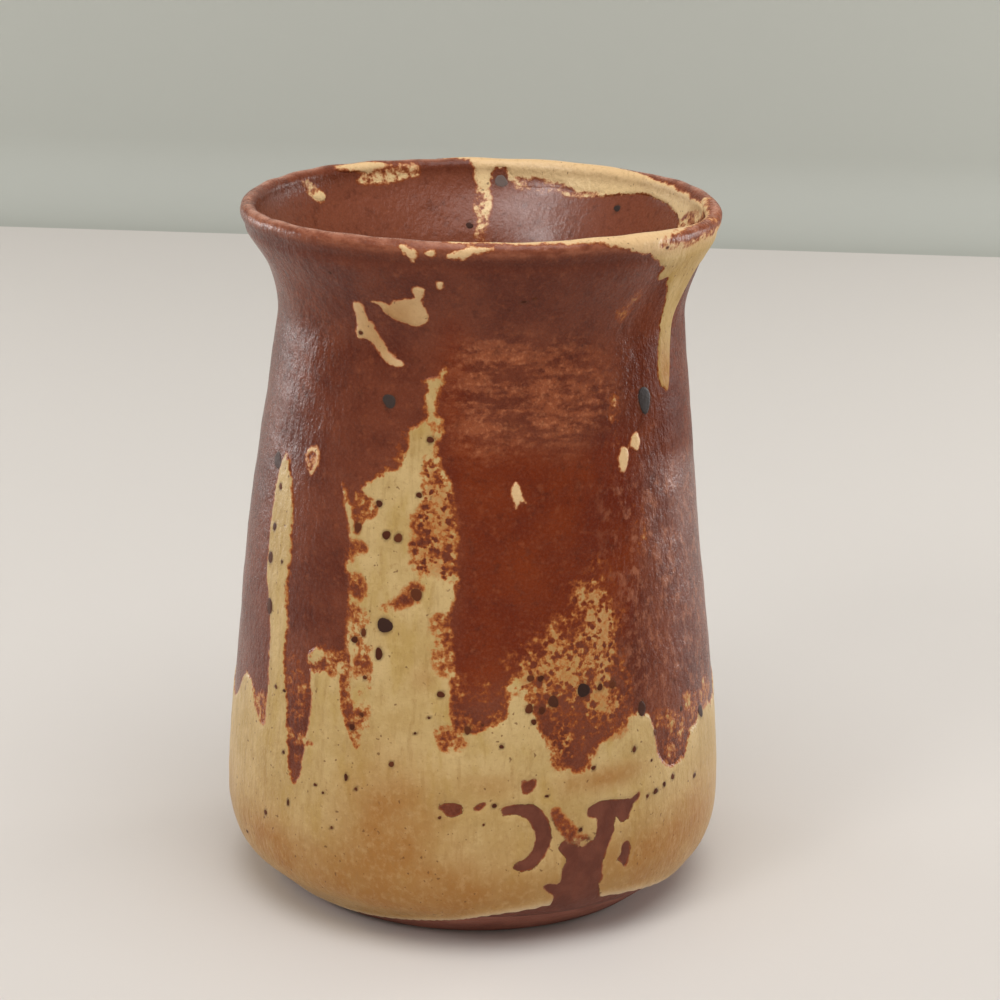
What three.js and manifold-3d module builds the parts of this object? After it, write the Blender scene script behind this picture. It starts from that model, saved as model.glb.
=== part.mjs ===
// A hand-thrown stoneware jug with a waisted wall and a flared lip. It is dipped in an iron-red glaze,
// and a runny cream glaze is poured over the foot, the rim and, in drops, the shoulder.
// Millimetres, +Z up, origin at the middle of the flat foot.
// Places on the wall are given as an angle in degrees and a height: 0 degrees faces -Y and 90 faces +X.
import * as THREE from "three";
import { mergeVertices } from "three/addons/utils/BufferGeometryUtils.js";
import Module from "manifold-3d";

const wasm = await Module();
wasm.setup();

// Outside of the pot, measured over the iron glaze
const HEIGHT = 150;
const FOOT_RADIUS = 40;
const FOOT_ROUND = 1.2;
const BEVEL_HEIGHT = 9;
const BEVEL_RADIUS = 51.2;
const BELLY_RADIUS = 53.6;
const BELLY_HEIGHT = 20;
const NECK_RADIUS = 42.9;
const NECK_BELOW_LIP = 24;
const LIP_RADIUS = 50.2;
const LIP_THICKNESS = 3.6;

// Inside of the pot, over the iron glaze
const WALL = 4.7;
const FLOOR = 8;
const FLOOR_ROUND = 16;

// How far the wall runs straight on from its widest and narrowest rings before it turns
const BELLY_EASE = 25;
const NECK_EASE_BELOW = 4;
const NECK_EASE_ABOVE = 8.5;
const LIP_EASE = 5.7;

// The thrown wall wanders off its axis by this much, towards -X, about this height
const WANDER = 0.9;
const WANDER_HEIGHT = 82;
const WANDER_SPREAD = 24;

// Glaze layers and the parting between them
const IRON_GLAZE = 0.4;
const CREAM_GLAZE = 0.6;
const PARTING = 0.2;

// Fineness of the facets
const TURN_STEPS = 36;
const CURVE_STEPS = 4;
const EDGE_STEPS = 180;
const OUTLINE_STEPS = 2;
const MERGE = 1e-4;

// Upper edge of the poured skirt, all the way round: angle and height above the foot
const SKIRT_EDGE = [
  [-85, 44], [-68, 49], [-60.5, 43], [-59, 93], [-56.5, 99], [-51.5, 91], [-49.5, 55], [-47.5, 45],
  [-45, 33], [-42, 37], [-40, 57], [-36.5, 62.5], [-31.5, 61], [-30, 94], [-24, 100], [-18.5, 104],
  [-14.5, 111], [-12, 119], [-10, 122], [-8.5, 106], [-5.5, 93], [-4.2, 78], [-3.6, 52], [0, 50],
  [10.5, 60], [17.5, 44], [22, 40], [27, 43], [42, 49.5], [49, 37], [55, 35.5], [60.5, 41],
  [70, 45], [86, 43], [107, 57], [128, 44], [149, 64], [160, 50], [174, 45], [188, 52],
  [202, 46], [212, 56], [220, 69], [228, 54], [242, 44], [258, 48],
];

// Bare places in the skirt, where the cream crept back from the wall: a crescent, and a forked patch
// that opens to the foot
const CRESCENT = [
  [7, 32.5], [11, 33.6], [15, 32.5], [17.6, 28], [17.4, 24], [15, 21], [9.5, 20],
  [9.6, 21.2], [13, 22.4], [14.2, 26], [12.5, 30], [8, 31.3],
];
const FORKED_PATCH = [
  [17, 0], [18.5, 12.5], [16, 15.5], [19.5, 16], [20.3, 22], [23, 24.6], [27.8, 25], [28.8, 29],
  [26, 31.3], [30, 33], [38.5, 31.8], [37.5, 30], [33.6, 28.4], [32, 23], [30.3, 18], [31, 0],
];

// Splashes, drops and runs that came from above: angle and depth below the top of the lip
const SHOULDER_SPLASH = [
  [-28, 14.8], [-21, 14.4], [-17.2, 13], [-15.3, 10.4], [-14, 11.4], [-14.4, 14],
  [-13.3, 16.5], [-15.5, 19], [-21, 17.6],
];
const SLANTING_SPLASH = [
  [-34.3, 15.6], [-31.6, 15.7], [-30.6, 18.6], [-26, 23], [-20.4, 27], [-22.5, 27.5],
  [-27, 24.4], [-32, 23], [-34.7, 22.5], [-34.6, 19],
];
const LEFT_DROP = [[-49, 48.4], [-46.4, 46.8], [-44.3, 48.6], [-45.8, 52.4], [-48, 51]];
const CENTRE_DROP = [[9.2, 51.8], [10.2, 50], [11.2, 51.4], [12.9, 53], [10.8, 55.4]];
const RIGHT_DROP_UPPER = [[42.9, 44.2], [45, 42.9], [46.5, 44.4], [44.6, 46.6]];
const RIGHT_DROP_LOWER = [[39.8, 45], [41.4, 46.6], [40.6, 50], [38.9, 48.6]];
const RIM_RUN = [
  [40, 3], [45, 7.4], [53, 10], [57.2, 16], [57.6, 24], [55.8, 32], [57.6, 35.7], [61, 35.7],
  [63, 31], [65.5, 23], [69, 16], [78, 13], [88, 11], [95, 7], [90, 4.4], [75, 4], [58, 3.6], [48, 2.6],
];
const LIP_LINE = [[-1, 1], [12, 1.8], [26, 1.6], [38, 3.4], [47, 3.2], [50, 0], [44, -2], [5, -2]];
const FRONT_LIP_PATCH = [[-17, 2], [-15, 5.8], [-13, 4.4], [-10, 5.6], [-5, 4.6], [-2.6, 2], [-9, 0.6]];
const INNER_BAND = [
  [97, 1], [98, 6], [104, 8.4], [112, 6], [122, 4.6], [132, 5.6], [141, 7.6], [152, 7], [163, 5.4],
  [172, 4], [177.2, 5], [178.4, 12], [179.4, 17], [181, 17], [181.6, 11], [182.2, 4], [184, 1], [150, 0.6],
];
const INNER_LEFT_PATCH = [[199, 1.4], [206, 2.4], [211, 4], [216, 3], [226, 1.2], [212, 0.6]];
const INNER_LEFT_SPOT = [[229, 2.6], [232, 3], [235.8, 5.4], [235, 6.6], [231, 4.8]];

// Heights and radii that follow from the sizes above
const NECK_HEIGHT = HEIGHT - NECK_BELOW_LIP;
const LIP_ROUND = LIP_THICKNESS / 2;
const LIP_MIDDLE = LIP_RADIUS - LIP_ROUND;
const LIP_BASE = HEIGHT - LIP_ROUND;
const MOUTH_RADIUS = LIP_RADIUS - LIP_THICKNESS;
const INNER_NECK = NECK_RADIUS - WALL;
const INNER_BELLY = BELLY_RADIUS - WALL;
const FLOOR_EDGE = FLOOR + FLOOR_ROUND;
const CLAY_DEPTH = IRON_GLAZE + PARTING;
const CREAM_TOP = PARTING + CREAM_GLAZE;
const INSIDE_THE_WALL = INNER_NECK / 2;
const OUTSIDE_THE_WALL = 2 * BELLY_RADIUS;
const FLARE_POINTS = 2 * CURVE_STEPS;

// Points along a path of straight lines and curves, each corner once
function sample(path) {
  const points = path.curves.flatMap((curve) => curve.getPoints(curve.isLineCurve ? 1 : CURVE_STEPS));
  return points.filter((point, i) => i === 0 || point.distanceTo(points[i - 1]) > MERGE);
}

// The outside of the wall in section, as radius and height, from the bevel up to the crest of the lip
function outsideOfWall() {
  const path = new THREE.Path();
  path.moveTo(BEVEL_RADIUS, BEVEL_HEIGHT);
  path.quadraticCurveTo(BELLY_RADIUS, (BEVEL_HEIGHT + BELLY_HEIGHT) / 2, BELLY_RADIUS, BELLY_HEIGHT);
  path.bezierCurveTo(
    BELLY_RADIUS, BELLY_HEIGHT + BELLY_EASE,
    NECK_RADIUS, NECK_HEIGHT - NECK_EASE_BELOW,
    NECK_RADIUS, NECK_HEIGHT,
  );
  path.bezierCurveTo(
    NECK_RADIUS, NECK_HEIGHT + NECK_EASE_ABOVE,
    LIP_RADIUS, LIP_BASE - LIP_EASE,
    LIP_RADIUS, LIP_BASE,
  );
  path.absarc(LIP_MIDDLE, LIP_BASE, LIP_ROUND, 0, Math.PI / 2, false);
  return sample(path);
}

// The inside of the wall in section, from the crest of the lip down to the middle of the floor
function insideOfWall() {
  const path = new THREE.Path();
  path.moveTo(LIP_MIDDLE, HEIGHT);
  path.absarc(LIP_MIDDLE, LIP_BASE, LIP_ROUND, Math.PI / 2, Math.PI, false);
  path.bezierCurveTo(
    MOUTH_RADIUS, LIP_BASE - LIP_EASE,
    INNER_NECK, NECK_HEIGHT + NECK_EASE_ABOVE,
    INNER_NECK, NECK_HEIGHT,
  );
  path.bezierCurveTo(
    INNER_NECK, NECK_HEIGHT - NECK_EASE_BELOW,
    INNER_BELLY, FLOOR_EDGE + BELLY_EASE,
    INNER_BELLY, FLOOR_EDGE,
  );
  path.absarc(INNER_BELLY - FLOOR_ROUND, FLOOR_EDGE, FLOOR_ROUND, 0, -Math.PI / 2, true);
  path.lineTo(0, FLOOR);
  return sample(path);
}

// A section moved outwards from the clay by a distance, with every facet parallel to the one it came from
function offset(points, distance) {
  return points.map((point, i) => {
    const arriving = point.clone().sub(points[i - 1] ?? point).normalize();
    const leaving = (points[i + 1] ?? point).clone().sub(point).normalize();
    const along = arriving.add(leaving).normalize();
    const outwards = new THREE.Vector2(along.y, -along.x);
    const mitre = along.dot(leaving) || 1;
    return point.clone().addScaledVector(outwards, distance / mitre);
  });
}

// How far the axis of the wall lies off the middle of the foot at a height
function wander(height) {
  return -WANDER * Math.exp(-(((height - WANDER_HEIGHT) / WANDER_SPREAD) ** 2));
}

// A section turned round the axis of the pot, which wanders a little
function revolve(section, steps = TURN_STEPS) {
  const geometry = new THREE.LatheGeometry(section, steps).rotateX(Math.PI / 2);
  const position = geometry.attributes.position;
  for (let i = 0; i < position.count; i++) {
    position.setX(i, position.getX(i) + wander(position.getZ(i)));
  }
  return geometry;
}

// A closed geometry as a solid that can be cut and joined
function solidOf(geometry) {
  const bare = geometry.clone();
  bare.deleteAttribute("normal");
  bare.deleteAttribute("uv");
  const merged = mergeVertices(bare, MERGE);
  const vertProperties = merged.attributes.position.array;
  const triVerts = new Uint32Array(merged.index.array);
  return new wasm.Manifold(new wasm.Mesh({ numProp: 3, vertProperties, triVerts }));
}

// A solid as a geometry again
function geometryOf(solid) {
  const mesh = solid.getMesh();
  const geometry = new THREE.BufferGeometry();
  geometry.setAttribute("position", new THREE.BufferAttribute(mesh.vertProperties, 3));
  geometry.setIndex(new THREE.BufferAttribute(mesh.triVerts, 1));
  geometry.computeVertexNormals();
  return geometry;
}

const outside = outsideOfWall();
const inside = insideOfWall();
const face = [...outside, ...inside.slice(1)];
const crest = outside.length - 1;

// The layer in which cream lies over the iron glaze, on the stretch of the section between two points
function creamLayer(first, last) {
  const top = offset(face, CREAM_TOP).slice(first, last + 1);
  const underside = offset(face, PARTING).slice(first, last + 1);
  return solidOf(revolve([...top, ...underside.reverse(), top[0]]));
}

const outerLayer = creamLayer(0, crest);
const lipLayer = creamLayer(crest - FLARE_POINTS, crest + FLARE_POINTS);
const innerLayer = creamLayer(crest, crest + FLARE_POINTS);

// An outline on the unrolled wall, rounded through its points, as a solid that passes right through the wall
function through(outline) {
  const corners = outline.map(([angle, height]) => new THREE.Vector2(angle, height));
  const shape = new THREE.Shape();
  shape.moveTo(corners[0].x, corners[0].y);
  shape.splineThru([...corners.slice(1), corners[0]]);
  const depth = OUTSIDE_THE_WALL - INSIDE_THE_WALL;
  const options = { depth, bevelEnabled: false, curveSegments: OUTLINE_STEPS };
  const geometry = new THREE.ExtrudeGeometry(shape, options);
  const position = geometry.attributes.position;
  for (let i = 0; i < position.count; i++) {
    const angle = THREE.MathUtils.degToRad(position.getX(i));
    const radius = INSIDE_THE_WALL + position.getZ(i);
    position.setXYZ(i, radius * Math.sin(angle), -radius * Math.cos(angle), position.getY(i));
  }
  return solidOf(geometry);
}

// The same for an outline whose heights are depths below the lip
function throughBelowLip(outline) {
  return through(outline.map(([angle, depth]) => [angle, HEIGHT - depth]));
}

// Height of the skirt's upper edge at an angle: each listed point is a rounded top or foot of a run
function skirtHeight(angle) {
  const [firstAngle, firstHeight] = SKIRT_EDGE[0];
  const turned = THREE.MathUtils.euclideanModulo(angle - firstAngle, 360) + firstAngle;
  const closed = [...SKIRT_EDGE, [firstAngle + 360, firstHeight]];
  const next = closed.findIndex(([edgeAngle]) => edgeAngle > turned);
  const [startAngle, startHeight] = closed[next - 1];
  const [endAngle, endHeight] = closed[next];
  const share = THREE.MathUtils.smoothstep(turned, startAngle, endAngle);
  return THREE.MathUtils.lerp(startHeight, endHeight, share);
}

// Everything below the skirt's upper edge, as a ring that passes through the wall and reaches a little higher
function belowSkirtEdge(higher = 0) {
  const ring = new THREE.Path();
  ring.moveTo(INSIDE_THE_WALL, 0);
  ring.lineTo(OUTSIDE_THE_WALL, 0);
  ring.lineTo(OUTSIDE_THE_WALL, HEIGHT);
  ring.lineTo(INSIDE_THE_WALL, HEIGHT);
  ring.closePath();
  const geometry = new THREE.LatheGeometry(sample(ring), EDGE_STEPS).rotateX(Math.PI / 2);
  const position = geometry.attributes.position;
  for (let i = 0; i < position.count; i++) {
    const angle = THREE.MathUtils.radToDeg(Math.atan2(position.getX(i), -position.getY(i)));
    const isUpper = position.getZ(i) > HEIGHT / 2;
    if (isUpper) position.setZ(i, skirtHeight(angle) + higher);
  }
  return solidOf(geometry);
}

// The clay: flat foot with a softened edge, turned bevel, and the wall up to its lip and down to its floor
function clayBody() {
  const wall = offset(face, -CLAY_DEPTH);
  const foot = new THREE.Path();
  const bevel = wall[0].clone().sub(new THREE.Vector2(FOOT_RADIUS, 0)).setLength(FOOT_ROUND);
  foot.moveTo(0, 0);
  foot.lineTo(FOOT_RADIUS - FOOT_ROUND, 0);
  foot.quadraticCurveTo(FOOT_RADIUS, 0, FOOT_RADIUS + bevel.x, bevel.y);
  return revolve([...sample(foot), ...wall]);
}

// The iron glaze: a thin coat from the bevel over the lip and down to the middle of the floor
function ironGlaze() {
  return revolve([...offset(face, -IRON_GLAZE).reverse(), ...face]);
}

// The poured skirt: the cream layer below its running edge, less the bare places
function skirt() {
  const poured = outerLayer.intersect(belowSkirtEdge());
  return geometryOf(poured.subtract(through(CRESCENT)).subtract(through(FORKED_PATCH)));
}

const skirtAndParting = belowSkirtEdge(PARTING);

// A splash or drop on the outside: the cream layer inside an outline, parted from any run of the skirt
function splash(outline) {
  return geometryOf(outerLayer.intersect(throughBelowLip(outline)).subtract(skirtAndParting));
}

// A patch inside the mouth
function innerPatch(outline) {
  return geometryOf(innerLayer.intersect(throughBelowLip(outline)));
}

// The pour over the right of the rim: a line along the lip, which gathers and runs down the outside
function rimPour() {
  const line = lipLayer.intersect(throughBelowLip(LIP_LINE));
  const run = outerLayer.intersect(throughBelowLip(RIM_RUN)).subtract(skirtAndParting);
  return geometryOf(line.add(run));
}

const clay = new THREE.MeshStandardMaterial({ color: 0x6b4238, roughness: 0.85, metalness: 0 });
const iron = new THREE.MeshStandardMaterial({ color: 0x6e3828, roughness: 0.35, metalness: 0 });
const cream = new THREE.MeshStandardMaterial({ color: 0xc8ac70, roughness: 0.45, metalness: 0 });

const jug = new THREE.Group();

function add(name, geometry, material) {
  const mesh = new THREE.Mesh(geometry, material);
  mesh.name = name;
  jug.add(mesh);
}

add("clay_body", clayBody(), clay);
add("iron_glaze_coat", ironGlaze(), iron);
add("lower_glaze_skirt", skirt(), cream);
add("rim_glaze_run", rimPour(), cream);
add("front_lip_glaze", splash(FRONT_LIP_PATCH), cream);
add("shoulder_splash", splash(SHOULDER_SPLASH), cream);
add("slanting_splash", splash(SLANTING_SPLASH), cream);
add("left_drop", splash(LEFT_DROP), cream);
add("centre_drop", splash(CENTRE_DROP), cream);
add("right_drop_upper", splash(RIGHT_DROP_UPPER), cream);
add("right_drop_lower", splash(RIGHT_DROP_LOWER), cream);
add("inner_rim_glaze", innerPatch(INNER_BAND), cream);
add("inner_left_glaze", innerPatch(INNER_LEFT_PATCH), cream);
add("inner_left_spot", innerPatch(INNER_LEFT_SPOT), cream);

export default jug;
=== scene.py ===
# A hand-thrown stoneware jug: iron-red glaze all over, with a runny cream glaze poured over it.
# The wall is drawn on a sheet that is wrapped round the pot. A place on it is an angle in degrees, where
# 0 faces the viewer and 90 the viewer's right, and a reach in millimetres along the section of the wall:
# from the crest of the lip down the outside, or, below zero, down the inside.
import math

import bpy
import numpy as np
from mathutils import Matrix, Vector


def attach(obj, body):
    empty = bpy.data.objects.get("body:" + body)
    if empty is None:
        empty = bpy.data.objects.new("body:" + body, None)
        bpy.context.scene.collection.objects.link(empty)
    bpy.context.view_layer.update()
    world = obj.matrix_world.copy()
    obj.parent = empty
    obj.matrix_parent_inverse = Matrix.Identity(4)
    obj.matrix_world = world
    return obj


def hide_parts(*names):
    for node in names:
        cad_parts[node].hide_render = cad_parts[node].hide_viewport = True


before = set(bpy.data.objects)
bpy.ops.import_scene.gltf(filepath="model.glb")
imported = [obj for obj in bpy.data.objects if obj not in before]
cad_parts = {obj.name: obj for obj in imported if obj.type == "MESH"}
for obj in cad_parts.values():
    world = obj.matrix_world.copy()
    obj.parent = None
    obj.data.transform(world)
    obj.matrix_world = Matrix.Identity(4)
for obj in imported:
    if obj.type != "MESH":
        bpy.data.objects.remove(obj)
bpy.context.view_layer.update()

MM = 0.001

# Section of the pot over the iron glaze, in millimetres
HEIGHT = 150.0
FOOT_RADIUS = 40.0
FOOT_ROUND = 1.2
BEVEL_FOOT = (41.6, 1.29)
GLAZE_EDGE = (49.4, 7.55)
BEVEL_BEND = (51.6, 9.2)
BELLY_START = 13.0
BELLY_RADIUS = 53.6
BELLY_HEIGHT = 20.0
BELLY_EASE = 25.0
NECK_RADIUS = 42.9
NECK_HEIGHT = HEIGHT - 24.0
NECK_EASE_BELOW = 4.0
NECK_EASE_ABOVE = 8.5
LIP_RADIUS = 50.2
LIP_ROUND = 1.8
LIP_EASE = 5.7
WALL = 4.7
FLOOR = 8.0
FLOOR_ROUND = 16.0

# Steps along the section: to find its slope, and below which two points are one
SLOPE_STEP = 0.2
SAME_POINT = 1e-6

# The thrown wall wanders off its axis, towards -X, about this height
WANDER = 0.9
WANDER_HEIGHT = 82.0
WANDER_SPREAD = 24.0

# Glaze layers, in millimetres: thickness of both, how deep cream sinks past its edge, how deep its underside
# lies, how far its mesh goes past the edge, over what width it sinks, width of the rolled edge, height and
# width of the bead at its foot, and the gap between iron glaze and clay
IRON_GLAZE = 0.4
CREAM_GLAZE = 0.26
CREAM_SINK = 0.25
CREAM_SEAT = 0.32
CREAM_SKIN = 0.75
SINK_WIDTH = 0.4
EDGE_ROLL = 1.3
BEAD = 0.45
BEAD_WIDTH = 2.4
CLAY_GAP = 0.05

# Share of its thickness that cream loses where the glazes mingle, and how steeply the bead rises
THIN_FILM = 0.85
BEAD_RISE = 4.0

# Iron spots: scale of the radii in SPOTS, height of the dome and the power by which it falls off, depth of
# its edge and of its underside, and the mesh: sectors, and rings as shares of the radius
SPOT_SIZE = 0.9
SPOT_DOME = 0.04
DOME_POWER = 4
SPOT_EDGE = 0.1
SPOT_SEAT = 0.2
SPOT_SECTORS = 16
SPOT_RINGS = (0.45, 0.8, 1.0, 1.1)

# How oval and how three-sided a spot is, and how its shade changes from one to the next
OVAL = 0.1
THREE_SIDED = 0.07
SHADE_TURN = 3.7

# Stain round a spot: its size for the spot's radius, what is added to that, how sharp its edge is, how far
# it goes at most
HALO_SCALE = 1.05
HALO_WIDTH = 0.15
HALO_EDGE = 8
HALO_NEAR = 8.0

# Unevenness of a pot thrown by hand: how far it stands proud, its size in millimetres, and its seed
LUMPS = (0.16, 60.0, 3)
DIMPLES = (0.045, 11.0, 5)
RING_FADE = (0.5, 60.0, 8)
LIP_WAVES = (0.06, 9.0, 21)
BEVEL_WEAR = (0.08, 14.0, 12)
WAVE_COUNT = 18

# Throwing rings on the wall and tool marks on the bevel: how far they stand proud and how far they lie apart
RINGS = (0.015, 5.5)
TOOL_MARKS = (0.05, 1.3)

# Heights over which wear sets in on the bevel, height over which it ends, and its way outwards and down
WEAR_START = (0.8, 3.0)
WEAR_END = 1.5
WEAR_OUT = 0.65
WEAR_DOWN = 0.75

# Groove under the lip: depth, height and half width
LIP_GROOVE = (0.36, 145.4, 1.1)

# Bulges of the wall: depth, angle, half width in degrees, height, and half width in millimetres. The dents
# go in, the lip goes out at the left, and the whole wall swells by a little.
RIGHT_DENT = (0.8, 90.0, 32.0, 140.0, 5.0)
LEFT_DENT = (0.6, -85.0, 34.0, 136.0, 5.5)
LEFT_LIP = (0.6, -80.0, 45.0, 149.0, 7.0)
SWELL = 0.2

# The floor is even in its middle, up to about this radius
SMOOTH_FLOOR = BELLY_RADIUS / 4.0

# How far the lip dips, at angles all the way round, the angle over which that is smoothed, and how far down
# the lip is wavy
LIP_DIP = [
    (-180, 0), (-135, 0.05), (-110, 0.6), (-90, 1.1), (-70, 1.15), (-45, 1.0), (-22, 0.8), (0, 1.0),
    (15, 1.1), (30, 0.8), (50, 1.15), (65, 1.4), (90, 1.1), (110, 0.5), (135, 0.05), (180, 0),
]
DIP_SOFTNESS = 9.0
LIP_ZONE = 8.0

# Columns of the meshes, in degrees: half the side that faces the viewer, then how far apart they are on that
# side and behind it, and on a splash
FRONT_HALF = 96.0
COAT_TURN = (0.8, 1.6)
CLAY_TURN = (1.2, 1.8)
SKIRT_TURN = (0.6, 1.2)
SPLASH_TURN = 0.35

# Rows of the pours, in millimetres: how far apart they are, how far a splash's mesh goes past its outline,
# in degrees too, and how high the skirt's mesh goes
SKIRT_STEP = 0.6
SPLASH_STEP = 0.32
SPLASH_MARGIN = 2.5
SKIRT_TOP = 125.0

# Rings of the coat: where each band ends, as a reach, and how far apart its rings are, how far apart they
# are deep inside, and at every how many of them the underside and the clay have a ring
COAT_BANDS = [(14.0, 1.0), (-9.0, 0.6), (-34.0, 1.4)]
DEEP_STEP = 4.5
UNDERSIDE_EVERY = 4
CLAY_EVERY = 3

# Rings of the clay's foot: radius of the first, and how many on the flat, its edge and the bevel
FLAT_START = 6.0
FLAT_RINGS = 7
EDGE_RINGS = 6
BEVEL_RINGS = 26

# Distances from an outline are measured up to this one, in millimetres; the others keep a divisor above zero
FAR = 9.0
NO_LENGTH = 1e-9
LEAST_TOTAL = 1e-6

# Points of the skirt's edge that are drawn again past a full turn
EDGE_LEAD = 6

# Zones of the wall: distances over which a crisp edge fades, reaches over which the rim's run turns darker,
# half width of the pale bead, depth at which the mouth has its full colour, outer and inner end of the lip,
# and middle and half width of its crest and of the groove under it. The colour of the lip and its crest is
# lighter as painted highlight, and that of the groove darker as painted shade.
CRISP_BAND = (0.8, 2.4)
PALE_RUN = (3.0, 8.0)
BEAD_GLOW = 1.1
MOUTH_REACH = 6.0
LIP_FACE = (2.8, 4.4)
LIP_BACK = 1.6
LIP_CREST = (0.3, 0.9)
GROOVE_SHADE = (5.8, 1.3)

# How deep the cream counts at most beside an edge, and how steeply blots set in where the glazes mingle
EDGE_LIMIT = 1.9
MINGLED_STEEP = 2.8

# How far dots stray, for the size of their net, and the shares of it over which their edge falls off
DOT_STRAY = 1.3
DOT_EDGE = (0.12, 0.55)

# Relief of the surfaces, in millimetres
GLAZE_RELIEF = 0.3
CLAY_RELIEF = 0.18
SPOT_RELIEF = 0.06

# Upper edge of the poured skirt: angle and height above the foot, all the way round
SKIRT_EDGE = [
    (-85, 42), (-78, 42), (-74, 45), (-71, 48.5), (-67, 49.5), (-64, 48), (-61, 45.5), (-57.6, 43),
    (-56.8, 47), (-56.8, 53), (-57.4, 62), (-58.8, 67), (-61.3, 74), (-61, 78), (-61.8, 84), (-61.2, 91),
    (-60.3, 96), (-58.6, 99.4), (-56, 99), (-53.4, 95), (-51.4, 91), (-51.2, 86), (-50.3, 80), (-51, 74),
    (-50.5, 67), (-49.9, 57), (-48.4, 50.5), (-47.4, 45), (-46.6, 40), (-45.6, 35), (-44.4, 33),
    (-43.2, 33.8), (-42.6, 37), (-41.8, 41), (-41, 46), (-40.5, 52), (-41.4, 57), (-42.4, 60.4),
    (-40.6, 62.2), (-37.6, 62.8), (-35, 61.2), (-31.6, 62.4), (-30.8, 66), (-31.2, 69), (-30.4, 73),
    (-31.4, 78), (-32, 82), (-31.8, 86), (-32.6, 90), (-34.4, 94.4), (-35.8, 97.4), (-34.4, 97),
    (-32, 93.6), (-30.4, 96), (-27.6, 98.6), (-24, 100.8), (-21.4, 103.2), (-20, 106), (-19.4, 109.4),
    (-16, 110.8), (-13.2, 112.8), (-14, 115.8), (-13.4, 119), (-15.6, 119.8), (-12.6, 120.8),
    (-10.8, 121.2), (-9.8, 122.8), (-8.6, 122), (-8.8, 120), (-10.2, 118.4), (-10.5, 114), (-9.3, 111.6),
    (-10, 107), (-9.2, 103), (-6.8, 99.6), (-5.4, 96.6), (-6.2, 93), (-4.2, 89.6), (-4, 86), (-4.5, 83),
    (-3.6, 79.6), (-3.8, 75.6), (-5.2, 71), (-5.2, 65), (-4.4, 60.8), (-3.6, 57), (-4.4, 53), (-2.6, 50),
    (0, 50), (3, 50.8), (6, 51.2), (7, 55), (7.4, 59), (10.4, 60.4), (12, 57), (14.4, 51.6), (16.6, 47),
    (18.4, 42.6), (22, 40.4), (25.6, 40.8), (27.6, 44.8), (32, 46.6), (36, 48.4), (40, 49.4),
    (44.4, 48.2), (46.6, 43.6), (47.8, 38.6), (50.4, 36), (54, 35.6), (58, 37.4), (60.4, 40.4),
    (64.6, 41.6), (67, 44.4), (71, 44.6), (77, 42), (82, 42.6), (86, 41), (88, 44.4), (92, 46),
    (94.4, 44.6), (96.6, 49), (98.6, 56), (100.4, 60), (102.2, 57.6), (103.8, 62), (105.6, 65), (107, 61),
    (108.2, 54.6), (110, 52.4), (112, 47), (114.4, 43.6), (117, 46), (120, 47.4), (122.4, 43.6),
    (124.2, 38.6), (126.8, 37.6), (128.6, 42), (131.6, 45.6), (135, 46.4), (137.4, 49.4), (139.4, 48),
    (141, 53), (142.4, 60), (143.8, 68), (145.4, 72.4), (147, 70), (148.6, 74), (150, 70.6), (151.4, 63),
    (153, 57.6), (154.6, 58.6), (156.4, 52), (159, 48.2), (162, 49.2), (164.6, 45), (166.4, 39.4),
    (169, 38.6), (170.8, 43), (173.6, 46.4), (177, 47.2), (180, 50), (183, 53.4), (185.4, 51.4),
    (187.6, 55), (190, 53), (192.6, 48), (196, 45.4), (199, 47.2), (202, 44.4), (205, 48), (207.6, 54),
    (209.4, 63), (210.8, 72), (212.6, 79), (214.4, 83), (216.2, 81.4), (218, 84.6), (219.8, 79.6),
    (221, 70), (222.6, 60), (224.4, 54), (226.8, 54.8), (229.4, 49), (232.4, 45.6), (234.6, 39.6),
    (237.4, 39), (239.2, 43.6), (242.4, 46), (246.6, 44.8), (250, 47.4), (253, 50.6), (256, 48.4),
    (259, 50.6), (262.4, 47), (267, 44.6),
]

# Lower edge of the glaze, where it drew up into a bead on the bevel
LOWER_EDGE = [
    (-180, 6.6), (-150, 8.2), (-120, 5.2), (-90, 3.0), (-60, 2.6), (-37, 2.7), (-27, 3.4), (-18, 4.4),
    (-11, 5.6), (-4, 6.9), (2, 8.4), (8, 9.4), (14, 10.1), (18, 10.8), (31, 10.7), (40, 9.8), (50, 8.3),
    (60, 7.3), (75, 6.6), (100, 7.4), (125, 8.8), (150, 7.2), (180, 6.6),
]

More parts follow.
